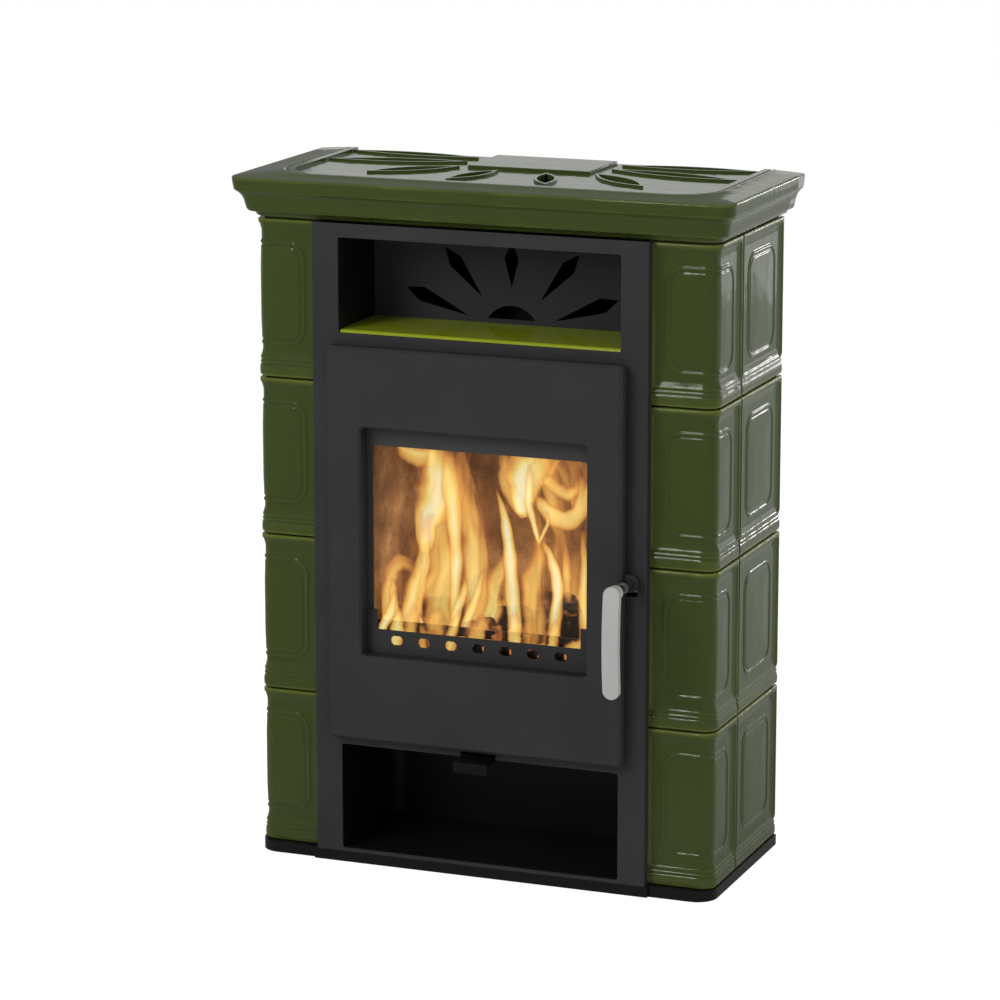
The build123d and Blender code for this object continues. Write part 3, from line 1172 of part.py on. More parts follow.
def air_slider():
    """Bent air slide: a plate under the wood store's ceiling with a turned-down lip."""
    front = PANEL_FACE - SLIDE_OUT
    half = SLIDE_WIDTH / 2
    plate = block((-half, half), (front, PANEL_FACE + SLIDE_LENGTH),
                  (SLIDE_TOP - SLIDE_SHEET, SLIDE_TOP))
    lip = block((-half, half), (front, front + SLIDE_SHEET), (SLIDE_TOP - SLIDE_LIP, SLIDE_TOP))
    plate += lip
    bend = plate.edges().filter_by(Axis.X).group_by(Axis.Y)[0].sort_by(Axis.Z)[-1]
    plate = fillet(bend, SLIDE_BEND)
    return plate - port_hole((SLIDE_TOP - 2 * SLIDE_SHEET, STORE_TOP))


def slider_guides():
    """Two angle runners that hold the air slide under the ceiling."""
    inner = SLIDE_WIDTH / 2 + GUIDE_PLAY
    outer = inner + GUIDE_SHEET
    top = SLIDE_TOP - SLIDE_SHEET - GUIDE_PLAY
    y_span = (0.0, PANEL_FACE + SLIDE_LENGTH - GUIDE_SHORT)
    web = block((inner, outer), y_span, (top - GUIDE_SHEET, STORE_TOP))
    shelf = block((SLIDE_WIDTH / 2 - GUIDE_LAP, outer), y_span, (top - GUIDE_SHEET, top))
    return both_sides(web + shelf)


write("air_slider", air_slider())
write("slider_guides", slider_guides())

print(f"{len(written)} sub-parts, {sum(written.values()) / 1e6:.2f} litres of material, "
      f"origin shift {ORIGIN_SHIFT:.2f} mm, height {CROWN_TOP:.0f} mm")
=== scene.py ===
# %% [markdown]
# # A tiled wood stove, dressed for a studio picture
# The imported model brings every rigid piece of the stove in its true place. This lesson gives those
# pieces their finishes and rebuilds the ones with a relief: the glazed tiles, the moulded crown and
# the soft edges of the flat work. Then it lights a fire behind the glass.

import json
import math

import bmesh
import bpy
import numpy as np
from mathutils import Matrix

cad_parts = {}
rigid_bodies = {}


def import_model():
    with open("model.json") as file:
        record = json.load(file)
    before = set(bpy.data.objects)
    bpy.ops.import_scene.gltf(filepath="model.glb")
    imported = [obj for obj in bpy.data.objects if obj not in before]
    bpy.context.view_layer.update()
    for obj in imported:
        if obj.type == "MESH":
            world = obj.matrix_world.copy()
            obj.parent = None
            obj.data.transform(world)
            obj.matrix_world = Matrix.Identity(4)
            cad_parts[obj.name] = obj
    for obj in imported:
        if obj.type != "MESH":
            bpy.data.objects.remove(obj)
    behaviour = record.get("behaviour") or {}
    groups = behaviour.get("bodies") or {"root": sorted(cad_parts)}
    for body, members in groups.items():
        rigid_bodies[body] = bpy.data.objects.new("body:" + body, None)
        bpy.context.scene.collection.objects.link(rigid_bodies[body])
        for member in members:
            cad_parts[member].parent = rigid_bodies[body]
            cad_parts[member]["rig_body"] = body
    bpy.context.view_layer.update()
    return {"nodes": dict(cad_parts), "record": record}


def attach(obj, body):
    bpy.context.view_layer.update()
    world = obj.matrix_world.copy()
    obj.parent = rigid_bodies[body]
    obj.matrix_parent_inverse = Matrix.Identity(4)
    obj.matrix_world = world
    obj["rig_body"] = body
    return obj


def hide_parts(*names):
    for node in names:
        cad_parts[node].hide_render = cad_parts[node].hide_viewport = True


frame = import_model()

# %% [markdown]
# Working sizes are kept in millimetres, as a stove maker would read them off a drawing. The model's
# drawing measures depth from the face of the tiles; its origin lies in the middle of the body, so
# one shift turns drawing depth into frame depth.

# %% Sizes from the drawing, in millimetres
MM = 0.001
DEPTH_SHIFT = 140.0         # half the depth of the body
HALF_WIDTH = 333.0          # over the tiles
BODY_DEPTH = 280.0
REAR_END = 286.0            # where the sides of the crown end
TILE_FOOT = 15.0            # top of the plinth
TILE_PITCH = 220.0
TILE_HEIGHT = 218.0
TILE_ROWS = 4
TILE_TOP = 895.0
CROWN_TOP = 955.0
CORNER_FRONT = 97.0         # corner tile along the front
CORNER_SIDE = 101.0         # and along the side
CORNER_RADIUS = 20.0
UPRIGHT_JOINT = 2.0         # between a corner tile and a side tile


def to_frame(points):
    """Millimetre points of the drawing as metres in the frame: depth loses its shift."""
    placed = np.array(points, float)
    placed[..., 1] -= DEPTH_SHIFT
    return placed * MM


print("front right foot of the tiles:", to_frame((HALF_WIDTH, 0.0, TILE_FOOT)))

# %% [markdown]
# ## Small tools
# A glazed surface is a grid of points worked out with numpy, and a finish is a few shader nodes.
# Small functions turn a grid into a mesh, a hex value into a linear colour and one line into a
# node. Nodes could be placed by hand in the editor, but a script that names only what differs from
# the defaults is easier to read and to change.

# %% Colours, nodes and materials
def linear(code):
    """Linear colour of an sRGB hex value: each channel through the sRGB curve."""
    channels = [int(code[i:i + 2], 16) / 255 for i in (1, 3, 5)]
    return tuple(c / 12.92 if c <= 0.04045 else ((c + 0.055) / 1.055) ** 2.4
                 for c in channels) + (1.0,)


def add(tree, kind, inputs=None, stops=(), **settings):
    """One shader node with its settings and links.

    Each input is a value, another node's socket, or a node, of which the first output is taken. A
    colour ramp also takes its stops, each a position and a hex value.
    """
    node = tree.nodes.new("ShaderNode" + kind)
    for name, value in settings.items():
        setattr(node, name, value)
    for name, value in (inputs or {}).items():
        if isinstance(value, bpy.types.Node):
            value = value.outputs[0]
        if isinstance(value, bpy.types.NodeSocket):
            tree.links.new(value, node.inputs[name])
        else:
            node.inputs[name].default_value = value
    for _ in stops[2:]:
        node.color_ramp.elements.new(0.5)
    for number, (place, code) in enumerate(stops):
        node.color_ramp.elements[number].position = place
        node.color_ramp.elements[number].color = linear(code)
    return node


def new_material(name):
    """A node material without nodes, and its tree."""
    made = bpy.data.materials.new(name)
    made.use_nodes = True
    made.node_tree.nodes.clear()
    return made, made.node_tree


print("mid grey in linear light:", round(linear("#808080")[0], 3))


# %% Lines of a grid, and a finished piece
def lines(*stops):
    """Grid lines with a chosen spacing: each (start, end, step) is divided evenly."""
    parts = [np.linspace(a, b, max(int(round((b - a) / step)), 1) + 1)[:-1] for a, b, step in stops]
    return np.append(np.concatenate(parts), stops[-1][1])


def in_scene(name, data):
    """A new object in the scene."""
    made = bpy.data.objects.new(name, data)
    bpy.context.scene.collection.objects.link(made)
    return made


def keep_piece(mesh, name, body, material):
    """Puts a finished mesh in the scene, on its body, with its finish."""
    piece = in_scene(name, mesh)
    mesh.materials.append(material)
    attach(piece, body)
    return piece


print("lines that are closer at one end:", lines((0, 3, 1), (3, 9, 3)))


# %% Meshes from grids
def outward(mesh):
    """True if the faces point outwards: the signed volume of a closed shell is positive."""
    mesh.calc_loop_triangles()
    corners = np.empty(len(mesh.loop_triangles) * 3, np.int32)
    mesh.loop_triangles.foreach_get("vertices", corners)
    places = np.empty(len(mesh.vertices) * 3)
    mesh.vertices.foreach_get("co", places)
    a, b, c = places.reshape(-1, 3)[corners.reshape(-1, 3)].transpose(1, 0, 2)
    return float(np.einsum("ij,ij->i", a, np.cross(b, c)).sum()) > 0


def shell(name, grid, closed=True, smooth=True, values=None, label="relief"):
    """Mesh of a grid of points (rows, columns, 3), whose neighbouring points make quads.

    A closed one joins its last column to the first and closes both ends with one face each.
    smooth says which columns of faces are shaded smooth, and values gives each point the number
    that its finish reads under the label.
    """
    rows, columns = grid.shape[:2]
    index = np.arange(rows * columns).reshape(rows, columns)
    above, below = index[:-1], index[1:]
    if closed:
        quads = np.stack([above, np.roll(above, -1, 1), np.roll(below, -1, 1), below], -1)
    else:
        quads = np.stack([above[:, :-1], above[:, 1:], below[:, 1:], below[:, :-1]], -1)
    faces = quads.reshape(-1, 4).tolist()
    is_smooth = np.broadcast_to(smooth, quads.shape[:2]).ravel().tolist()
    if closed:
        faces += [index[0, ::-1].tolist(), index[-1].tolist()]
        is_smooth += [False, False]
    mesh = bpy.data.meshes.new(name)
    mesh.from_pydata(to_frame(grid).reshape(-1, 3).tolist(), [], faces)
    mesh.polygons.foreach_set("use_smooth", is_smooth)
    if values is not None:
        layer = mesh.attributes.new(label, "FLOAT", "POINT")
        layer.data.foreach_set("value", values.astype(np.float32).ravel())
    mesh.update()
    if closed and not outward(mesh):
        mesh.flip_normals()
    return mesh


# %% [markdown]
# Folded sheet and pressed clay have no sharp edges, and a thin line of light along an edge is what
# tells the eye so. The model's solids keep theirs sharp to stay light. Their edges could be
# rounded one by one; a bevel that looks for every edge past 30 degrees does it at once.

# %% A softened copy of a model piece
SAME_POINT = 0.02 * MM
SAME_PLANE = math.radians(1.0)
REAL_EDGE = math.radians(30.0)


def softened(node, width, segments, joined=True):
    """A copy of a model piece with small rounded edges, which then stands for it.

    The copy is merged and its flat faces are joined first, so that the bevel runs along real
    edges only; a flat face with many holes is left in triangles. Normals are weighed by area, so
    that light turns on the small rounded edges and a flat face reflects as one plane.
    """
    source = frame["nodes"][node]
    work = bmesh.new()
    work.from_mesh(source.data)
    bmesh.ops.remove_doubles(work, verts=work.verts, dist=SAME_POINT)
    if joined:
        bmesh.ops.dissolve_limit(work, angle_limit=SAME_PLANE, verts=work.verts,
                                 edges=work.edges)
    mesh = bpy.data.meshes.new(node + "_eased")
    work.to_mesh(mesh)
    work.free()
    mesh.shade_smooth()
    piece = keep_piece(mesh, mesh.name, source["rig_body"], FINISH[SLOT_OF[node]])
    bevel = piece.modifiers.new("Eased edges", "BEVEL")
    bevel.width = width * MM
    bevel.segments = segments
    bevel.limit_method = "ANGLE"
    bevel.angle_limit = REAL_EDGE
    bevel.face_strength_mode = "FSTR_AFFECTED"
    flat = piece.modifiers.new("Flat faces stay flat", "WEIGHTED_NORMAL")
    flat.use_face_influence = True
    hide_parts(node)
    print(node, "eased by", width, "mm")


# %% [markdown]
# ## Camera
# The picture was taken from the right and a little above with a long lens. The place and turn below
# come from the corners of the tile joints, whose real places are known.

# %% Camera
camera_data = bpy.data.cameras.new("studio camera")
camera_data.lens = 146.67
camera_data.sensor_width = 36.0
camera = in_scene("studio camera", camera_data)
camera.location = (1.9804, -5.1153, 1.7308)
camera.rotation_euler = (math.radians(90 - 12.66), 0.0, math.radians(21.44))
bpy.context.scene.camera = camera
bpy.context.scene.view_settings.view_transform = "Standard"
print("camera", [round(v, 3) for v in camera.location])

# %% [markdown]
# ## Light
# A glazed tile is a dark mirror: most of what the eye sees in it is the room. In a studio the
# floor and walls behind the stove are bright and the side with the camera is dim, so the flank and
# the crown turn silvery while the front keeps its deep green. The world and the floor follow that:
# white to the camera, dim in reflections, and dimmer in front than behind. Lamps that only a
# mirror sees add the streaks.

# %% World
world = bpy.data.worlds.new("studio")
bpy.context.scene.world = world
world.use_nodes = True
sky = world.node_tree
sky.nodes.clear()
seen = add(sky, "LightPath")
where = add(sky, "TexCoord")
axes = add(sky, "SeparateXYZ", {"Vector": where.outputs["Generated"]})
behind = add(sky, "MapRange", {
    "Value": axes.outputs["Y"], "From Min": -0.35, "From Max": 0.55, "To Min": 0.13,
    "To Max": 0.22})
glossy = add(sky, "Mix", {
    "Factor": seen.outputs["Is Glossy Ray"], "A": 0.62, "B": behind}, data_type="FLOAT")
direct = add(sky, "Math", {
    0: seen.outputs["Is Camera Ray"], 1: seen.outputs["Is Transmission Ray"]}, operation="MAXIMUM")
level = add(sky, "Mix", {"Factor": direct, "A": glossy, "B": 1.0}, data_type="FLOAT")
light = add(sky, "Background", {"Color": linear("#ffffff"), "Strength": level})
add(sky, "OutputWorld", {"Surface": light})
print("world of", len(sky.nodes), "nodes")


# %% Lamps
def soft_box(name, place, aim, size, watts, mirrored=False):
    """A rectangular soft box at a place, turned to the point it lights.

    Only a mirrored one shows in the glaze; none shows to the camera.
    """
    data = bpy.data.lights.new(name, "AREA")
    data.shape = "RECTANGLE"
    data.size, data.size_y = size
    data.energy = watts
    lamp = in_scene(name, data)
    lamp.location = place
    toward = np.subtract(aim, place)
    flat = math.hypot(toward[0], toward[1])
    lamp.rotation_euler = (math.atan2(flat, -toward[2]), 0.0,
                           math.atan2(toward[1], toward[0]) - math.pi / 2)
    lamp.visible_camera = False
    lamp.visible_glossy = mirrored
    print(name, watts, "W")


soft_box("key soft box", (-1.7, -3.0, 2.3), (0.0, 0.0, 0.5), (1.4, 1.8), 85.0)
soft_box("side soft box", (3.2, -0.2, 1.6), (0.0, 0.0, 0.5), (1.6, 2.0), 35.0)
soft_box("top soft box", (0.2, 0.8, 3.0), (0.0, 0.0, 0.9), (2.4, 1.6), 25.0)
soft_box("strip light", (-0.92, -3.2, 2.35), (0.0, 0.0, 0.6), (0.05, 1.3), 5.0, True)
soft_box("bead box", (-1.35, -3.1, 2.7), (0.0, 0.0, 0.5), (1.5, 0.35), 0.5, True)
soft_box("stroke lamp", (1.75, 4.1, 0.85), (0.3, 0.0, 0.5), (0.3, 0.24), 3.6, True)
soft_box("rear lamp", (1.7, 4.2, 2.3), (0.3, 0.0, 0.5), (0.8, 0.4), 11.0, True)
# the lit wall behind ends on the left, so the left of the crown's top stays dark
soft_box("lit wall", (1.1, 4.5, 1.08), (1.1, 0.0, 1.08), (6.88, 2.16), 21.5, True)

# %% Floor
paper, tree = new_material("seamless studio paper")
seen = add(tree, "LightPath")
coords = add(tree, "TexCoord")
axes = add(tree, "SeparateXYZ", {"Vector": coords.outputs["Object"]})
behind = add(tree, "MapRange", {
    "Value": axes.outputs["Y"], "From Min": -0.9, "From Max": 1.6, "To Min": 0.1, "To Max": 0.5})
lit = add(tree, "BsdfDiffuse", {"Color": linear("#f4f4f2")})
white = add(tree, "Emission", {"Color": linear("#ffffff"), "Strength": 1.12})
mirrored = add(tree, "Emission", {"Color": linear("#ffffff"), "Strength": behind})
direct = add(tree, "Math", {
    0: seen.outputs["Is Camera Ray"], 1: seen.outputs["Is Transmission Ray"]}, operation="MAXIMUM")
share = add(tree, "Math", {0: direct, 1: 0.78}, operation="MULTIPLY")
pale = add(tree, "MixShader", {0: share, 1: lit, 2: white})
graded = add(tree, "MixShader", {0: seen.outputs["Is Glossy Ray"], 1: pale, 2: mirrored})
add(tree, "OutputMaterial", {"Surface": graded})
floor_mesh = bpy.data.meshes.new("studio floor")
floor_mesh.from_pydata([(-14, -9, 0), (14, -9, 0), (14, 16, 0), (-14, 16, 0)], [], [(0, 1, 2, 3)])
floor_mesh.materials.append(paper)
floor = in_scene("studio_floor", floor_mesh)
print("floor from", floor_mesh.vertices[0].co[:], "to", floor_mesh.vertices[2].co[:])

# %% [markdown]
# ## Finishes
# Each finish starts from the real one: what it is and how its surface was made. Pictures could be
# wrapped round the pieces, but a pattern that is worked out from the place in space has no seams,
# and one recipe serves every piece of the same stuff.
#
# The tiles, the crown and the shelf are majolica: baked clay under a thick coloured glaze. Clay and
# glass could be two layers; one glossy shader is enough here, because the depth of the glaze shows
# only as colour. That colour follows the relief, which each tile brings along as a number.

# %% Olive majolica glaze
def glaze(name, thin, body, pool, freckle):
    """Transparent lead-free majolica glaze, poured thick over a moulded tile.

    It runs off raised edges, where the clay shows through paler, and pools in hollows, where it is
    deepest. The relief number of the mesh says which: above zero on edges, below zero in hollows.
    On the outer edges of a tile the paler colour is partly a painted highlight.
    """
    made, tree = new_material(name)
    coords = add(tree, "TexCoord").outputs["Object"]
    relief = add(tree, "Attribute", attribute_name="relief").outputs["Fac"]
    # clouds about 90 mm across from the pour, and freckles about 2 mm across in the glaze
    cloud = add(tree, "TexNoise", {"Vector": coords, "Scale": 11.0, "Detail": 3.0})
    speck = add(tree, "TexNoise", {"Vector": coords, "Scale": 420.0})
    drift = add(tree, "MapRange", {
        "Value": cloud, "From Min": 0.3, "From Max": 0.7, "To Min": -0.13, "To Max": 0.13})
    grain = add(tree, "MapRange", {
        "Value": speck, "From Min": 0.3, "From Max": 0.7, "To Min": -freckle, "To Max": freckle})
    mixed = add(tree, "Math", {0: relief, 1: drift}, operation="ADD")
    mixed = add(tree, "Math", {0: mixed, 1: grain}, operation="ADD")
    place = add(tree, "MapRange", {"Value": mixed, "From Min": -1.0, "From Max": 1.0})
    colour = add(tree, "ValToRGB", {"Fac": place},
                 [(0.0, pool), (0.42, body), (0.56, body), (1.0, thin)])
    rough = add(tree, "MapRange", {"Value": cloud, "To Min": 0.05, "To Max": 0.13})
    # the fired surface is gently wavy, about 25 mm from crest to crest
    wave = add(tree, "TexNoise", {"Vector": coords, "Scale": 40.0, "Detail": 1.0})
    bump = add(tree, "Bump", {"Height": wave, "Strength": 0.35, "Distance": 0.0012})
    orange = add(tree, "Bump", {
        "Height": speck, "Strength": 0.12, "Distance": 0.0003, "Normal": bump})
    surface = add(tree, "BsdfPrincipled", {
        "Base Color": colour, "Roughness": rough, "IOR": 1.52, "Normal": orange})
    add(tree, "OutputMaterial", {"Surface": surface})
    return made


# %% [markdown]
# The front and the door are sheet steel under stove enamel, the body under heat-proof paint, and
# the grate is cast iron. All three are dark, matt and slightly rough, so one recipe makes them.
# Their tooth is a bump and not a shape, because it is finer than any mesh of a stove.

# %% Enamelled and painted steel, and cast iron
def coated_steel(name, shade, light_shade, rough, grain_mm, depth):
    """A coat with a fine even tooth that scatters the light softly and hides its reflections.

    The real tooth is about 0.1 mm; grain_mm is as coarse as it needs to be to show.
    """
    made, tree = new_material(name)
    coords = add(tree, "TexCoord").outputs["Object"]
    tooth = add(tree, "TexNoise", {"Vector": coords, "Scale": 1000.0 / grain_mm})
    cloud = add(tree, "TexNoise", {"Vector": coords, "Scale": 6.0, "Detail": 4.0})
    mix = add(tree, "Math", {0: tooth, 1: 0.35, 2: cloud}, operation="MULTIPLY_ADD")
    colour = add(tree, "ValToRGB", {"Fac": mix}, [(0.3, shade), (1.0, light_shade)])
    matt = add(tree, "MapRange", {"Value": cloud, "To Min": rough - 0.05, "To Max": rough + 0.07})
    bump = add(tree, "Bump", {"Height": tooth, "Strength": depth, "Distance": 0.0002})
    surface = add(tree, "BsdfPrincipled", {
        "Base Color": colour, "Roughness": matt, "Specular IOR Level": 0.3, "Normal": bump})
    add(tree, "OutputMaterial", {"Surface": surface})
    return made


# %% [markdown]
# The firebox is lined with pressed firebrick, tan when new and clouded with soot by the fire. The
# grit could be scattered grain by grain; a cell pattern at its size gives the same rough face.

# %% Firebrick
def fired_clay(name, pale, dark, soot):
    """Pressed firebrick: grit of 2 to 4 mm in a porous, lightless body under clouds of soot."""
    made, tree = new_material(name)
    coords = add(tree, "TexCoord").outputs["Object"]
    grit = add(tree, "TexVoronoi", {"Vector": coords, "Scale": 260.0})
    cloud = add(tree, "TexNoise", {
        "Vector": coords, "Scale": 14.0, "Detail": 6.0, "Roughness": 0.65})
    colour = add(tree, "ValToRGB", {"Fac": cloud}, [(0.25, soot), (0.5, dark), (0.75, pale)])
    spots = add(tree, "MapRange", {"Value": grit, "From Max": 0.5, "To Min": 0.7, "To Max": 1.05})
    tinted = add(tree, "VectorMath", {0: colour, "Scale": spots}, operation="SCALE")
    bump = add(tree, "Bump", {"Height": grit, "Strength": 0.5, "Distance": 0.0008})
    surface = add(tree, "BsdfPrincipled", {"Base Color": tinted, "Roughness": 0.92, "Normal": bump})
    add(tree, "OutputMaterial", {"Surface": surface})
    return made


# %% [markdown]
# The handle is nickel-plated, its shaft is turned steel and the screws are zinc-plated. They differ
# only in shade and polish. The plate of the handle also scatters a little light, as a satin one
# does, so it is not wholly metallic.

# %% Bare and plated metal
def bare_metal(name, shade, rough, brush, metallic=1.0):
    """Drawn and brushed metal: fine lines along the bar blur the reflections one way.

    Real brush lines are about 0.1 mm apart; these are 1 mm, as coarse as they need to be to show.
    """
    made, tree = new_material(name)
    coords = add(tree, "TexCoord").outputs["Object"]
    along = add(tree, "Mapping", {"Vector": coords, "Scale": (900.0, 900.0, 30.0)})
    hair = add(tree, "TexNoise", {"Vector": along, "Scale": 1.0})
    matt = add(tree, "MapRange", {"Value": hair, "To Min": rough - 0.06, "To Max": rough + 0.08})
    bump = add(tree, "Bump", {"Height": hair, "Strength": brush, "Distance": 0.0001})
    surface = add(tree, "BsdfPrincipled", {
        "Base Color": linear(shade), "Metallic": metallic, "Roughness": matt, "Normal": bump})
    add(tree, "OutputMaterial", {"Surface": surface})
    return made


# %% [markdown]
# The door and the joints are sealed with woven glass-fibre tape, and the window is glass ceramic.
# Threads could be modelled, but the tape is seen only when the door stands open.

# %% Sealing tape and glass
def fibre_rope(name, shade, light_shade):
    """Woven glass-fibre tape: a twill about 1.5 mm from thread to thread."""
    made, tree = new_material(name)
    coords = add(tree, "TexCoord").outputs["Object"]
    turned = add(tree, "Mapping", {"Vector": coords, "Rotation": (0.0, math.radians(45), 0.0)})
    weave = add(tree, "TexWave", {
        "Vector": turned, "Scale": 210.0, "Distortion": 1.0, "Detail": 1.0})
    colour = add(tree, "ValToRGB", {"Fac": weave.outputs["Fac"]},
                 [(0.2, shade), (0.8, light_shade)])
    bump = add(tree, "Bump", {"Height": weave.outputs["Fac"], "Strength": 0.6, "Distance": 0.0005})
    surface = add(tree, "BsdfPrincipled", {"Base Color": colour, "Roughness": 0.95, "Normal": bump})
    add(tree, "OutputMaterial", {"Surface": surface})
    return made


def glass_ceramic(name):
    """Drawn glass ceramic for stove doors: clear and smooth, with a faint warm tint."""
    made, tree = new_material(name)
    surface = add(tree, "BsdfPrincipled", {
        "Base Color": linear("#fbf8f0"), "Roughness": 0.0, "IOR": 1.5, "Transmission Weight": 1.0})
    add(tree, "OutputMaterial", {"Surface": surface})
    return made


# %% One finish for each material slot of the record
FINISH = {
    "green_glaze": glaze("olive majolica glaze", "#60682b", "#333d1a", "#1a210a", 0.05),
    "shelf_glaze": glaze("bright olive shelf glaze", "#c4cf3c", "#7d881c", "#4c5512", 0.06),
    "black_enamel_steel": coated_steel("satin stove enamel on steel", "#262627", "#2f2f31", 0.6,
                                       0.5, 0.25),
    "body_steel": coated_steel("matt heat-proof paint on steel", "#0f0f10", "#171718", 0.5, 0.7,
                               0.3),
    "fireclay": fired_clay("pressed firebrick", "#c9a678", "#8f6b45", "#4a3524"),
    "cast_iron": coated_steel("sand-cast grey iron", "#171615", "#2c2a28", 0.75, 1.6, 0.9),
    "ceramic_glass": glass_ceramic("clear glass ceramic"),
    "glass_fibre": fibre_rope("woven glass-fibre tape", "#17181a", "#303134"),
    "satin_nickel": bare_metal("satin nickel plate", "#d2d2d0", 0.34, 0.15, 0.55),
    "bright_steel": bare_metal("turned bright steel", "#c4c5c6", 0.18, 0.1),
    "zinc_steel": bare_metal("zinc-plated steel", "#a3a6a8", 0.35, 0.2),
}
SLOT_OF = {part["node"]: part["material_slot"] for part in frame["record"]["subparts"]}

# %% The finishes of single pieces
# the enamel on the sheets inside, on the plinth and on the air slider is painted darker, as painted
# shade
SHADE_DARKENED_ENAMEL = coated_steel("stove enamel darkened as painted shade", "#0c0c0d", "#131314", 0.34,
                      0.8, 0.2)
# the seat of the glass is sprayed with the door; its enamel is painted paler than the door's, as
# painted light on a seat that lies in the shade of the reveal
LIGHTENED_SEAT_ENAMEL = coated_steel("satin stove enamel on the glass seat", "#303031", "#38383a", 0.6, 0.5,
                         0.25)
OWN_FINISH = {"base_plate": SHADE_DARKENED_ENAMEL, "niche_liner": SHADE_DARKENED_ENAMEL, "store_liner": SHADE_DARKENED_ENAMEL,
              "air_slider": SHADE_DARKENED_ENAMEL, "door_inner_frame": LIGHTENED_SEAT_ENAMEL}
for node, piece in frame["nodes"].items():
    piece.data.materials.clear()
    piece.data.materials.append(OWN_FINISH.get(node, FINISH[SLOT_OF[node]]))
print("finishes:", ", ".join(m.name for m in [*FINISH.values(), SHADE_DARKENED_ENAMEL, LIGHTENED_SEAT_ENAMEL]))


# %% [markdown]
# ## Glazed tiles
# Each tile is pressed in a plaster mould: a plain rim, a hollow, a rounded bead that runs round a
# slightly domed field, and at the foot a roll with a thin bead above it. The relief is worked out
# as a depth below the rim for every point of the tile, from the distance to rounded rectangles,
# because a mould's edges are all soft and a distance gives each of them its own profile. The
# corner tile is the same sheet of relief wrapped round a 20 mm corner.

# %% Sizes of the relief, in millimetres
BUTTED_RIM = 4.0            # plain edge where two tiles meet, or at the far end
HEAD_RIM = 5.0
FOOT_BAND = 24.0
HOLLOW_DEPTH = 4.3
HOLLOW_CORNER = 9.0
FIELD_FOOT = 46.0           # crest of the bead above the foot
FIELD_HEAD = 33.0           # and below the head
FIELD_CORNER = 23.0
BEAD_RISE = 1.7
BEAD_SPREAD = 1.8
ROLL_DEPTH = 2.2
ROLL_MIDDLE = 8.2
ROLL_HALF = 8.4
SMALL_BEAD = 19.3           # middle of the thin bead above the roll
ARRIS = 2.4                 # radius of the outer edges
# the outer edges are paler over this reach: partly thin glaze, partly a painted highlight
PALE_EDGE_REACH = 2.8            # how far the glaze draws back from an edge
print("field", TILE_HEIGHT - FIELD_FOOT - FIELD_HEAD, "mm high")


# %% Relief of one tile
def ease(t):
    """Smooth step: 3t^2 - 2t^3 between 0 and 1."""
    t = np.clip(t, 0.0, 1.0)
    return t * t * (3.0 - 2.0 * t)


def inset(s, v, box, radius):
    """Distance into a rounded rectangle: positive inside, negative outside."""
    s0, s1, v0, v1 = box
    qs = np.abs(s - (s0 + s1) / 2) - ((s1 - s0) / 2 - radius)
    qv = np.abs(v - (v0 + v1) / 2) - ((v1 - v0) / 2 - radius)
    outside = np.hypot(np.maximum(qs, 0.0), np.maximum(qv, 0.0))
    return radius - outside - np.minimum(np.maximum(qs, qv), 0.0)


def tile_depth(s, v, length, near, far, rim):
    """Depth below the rim at s along the tile and v above its foot, in millimetres.

    near and far are the distances from the two ends of the tile to the crest of the bead, and rim
    is the width of the plain edge at the near end. The depth is the greater of the hollow, two
    eased steps of 4 and 14 mm, and the roll, a half round under a thin bell curve; less the bead,
    another bell curve, and the domed field; plus a quarter round along the outer edges.
    """
    into = inset(s, v, (rim, length - BUTTED_RIM, FOOT_BAND, TILE_HEIGHT - HEAD_RIM),
                 HOLLOW_CORNER)
    bead = inset(s, v, (near, length - far, FIELD_FOOT, TILE_HEIGHT - FIELD_HEAD), FIELD_CORNER)
    hollow = HOLLOW_DEPTH * (0.4 * ease(into / 4.0) + 0.6 * ease(into / 14.0))
    crest = BEAD_RISE * np.exp(-(bead / BEAD_SPREAD) ** 2)
    field = 1.1 * ease((bead - 4.4) / 3.4) + 0.7 * ease((bead - 8.0) / 30.0)
    across = np.clip((v - ROLL_MIDDLE) / ROLL_HALF, -1.0, 1.0)
    roll = ROLL_DEPTH * (1.0 - np.sqrt(1.0 - across ** 2))
    small = ROLL_DEPTH - 1.5 * np.exp(-((v - SMALL_BEAD) / 1.6) ** 2) - 1.6 * ease((v - 22.0) / 5.0)
    roll = np.where(v < 2 * ROLL_MIDDLE, roll, small) * (1.0 - ease((v - 27.0) / 3.0))
    edge = np.minimum(np.minimum(s, length - s), np.minimum(v, TILE_HEIGHT - v))
    arris = ARRIS - np.sqrt(ARRIS ** 2 - np.clip(ARRIS - edge, 0.0, ARRIS) ** 2)
    return np.maximum(roll, hollow) - crest - field + arris


def pooling(depth, s, v, length, s_lines, v_lines, rim):
    """Where glaze runs off or gathers, from -1 to 1: the bend of the surface, and its outer edges.

    It is 0.4 times the sum of both second slopes, less 0.07 for each millimetre below mid depth,
    and 0.6 more along the outer edges. The paler outer edges are partly glaze that drips off the
    top, the foot and a wide near edge and partly a painted highlight; butted edges keep theirs.
    """
    bend = (np.gradient(np.gradient(depth, s_lines, axis=0), s_lines, axis=0)
            + np.gradient(np.gradient(depth, v_lines, axis=1), v_lines, axis=1))
    bend = np.clip(0.4 * bend - 0.07 * (depth - 2.5), -1.0, 0.2)
    # paler along the top, the foot and a wide near edge: partly thin glaze, partly a painted
    # highlight
    thin = np.exp(-(np.minimum(v, TILE_HEIGHT - v) / PALE_EDGE_REACH) ** 2)
    if rim > BUTTED_RIM:
        thin = np.maximum(thin, np.exp(-(s / rim) ** 4))
    return np.clip(bend + 0.6 * thin, -1.0, 1.0)


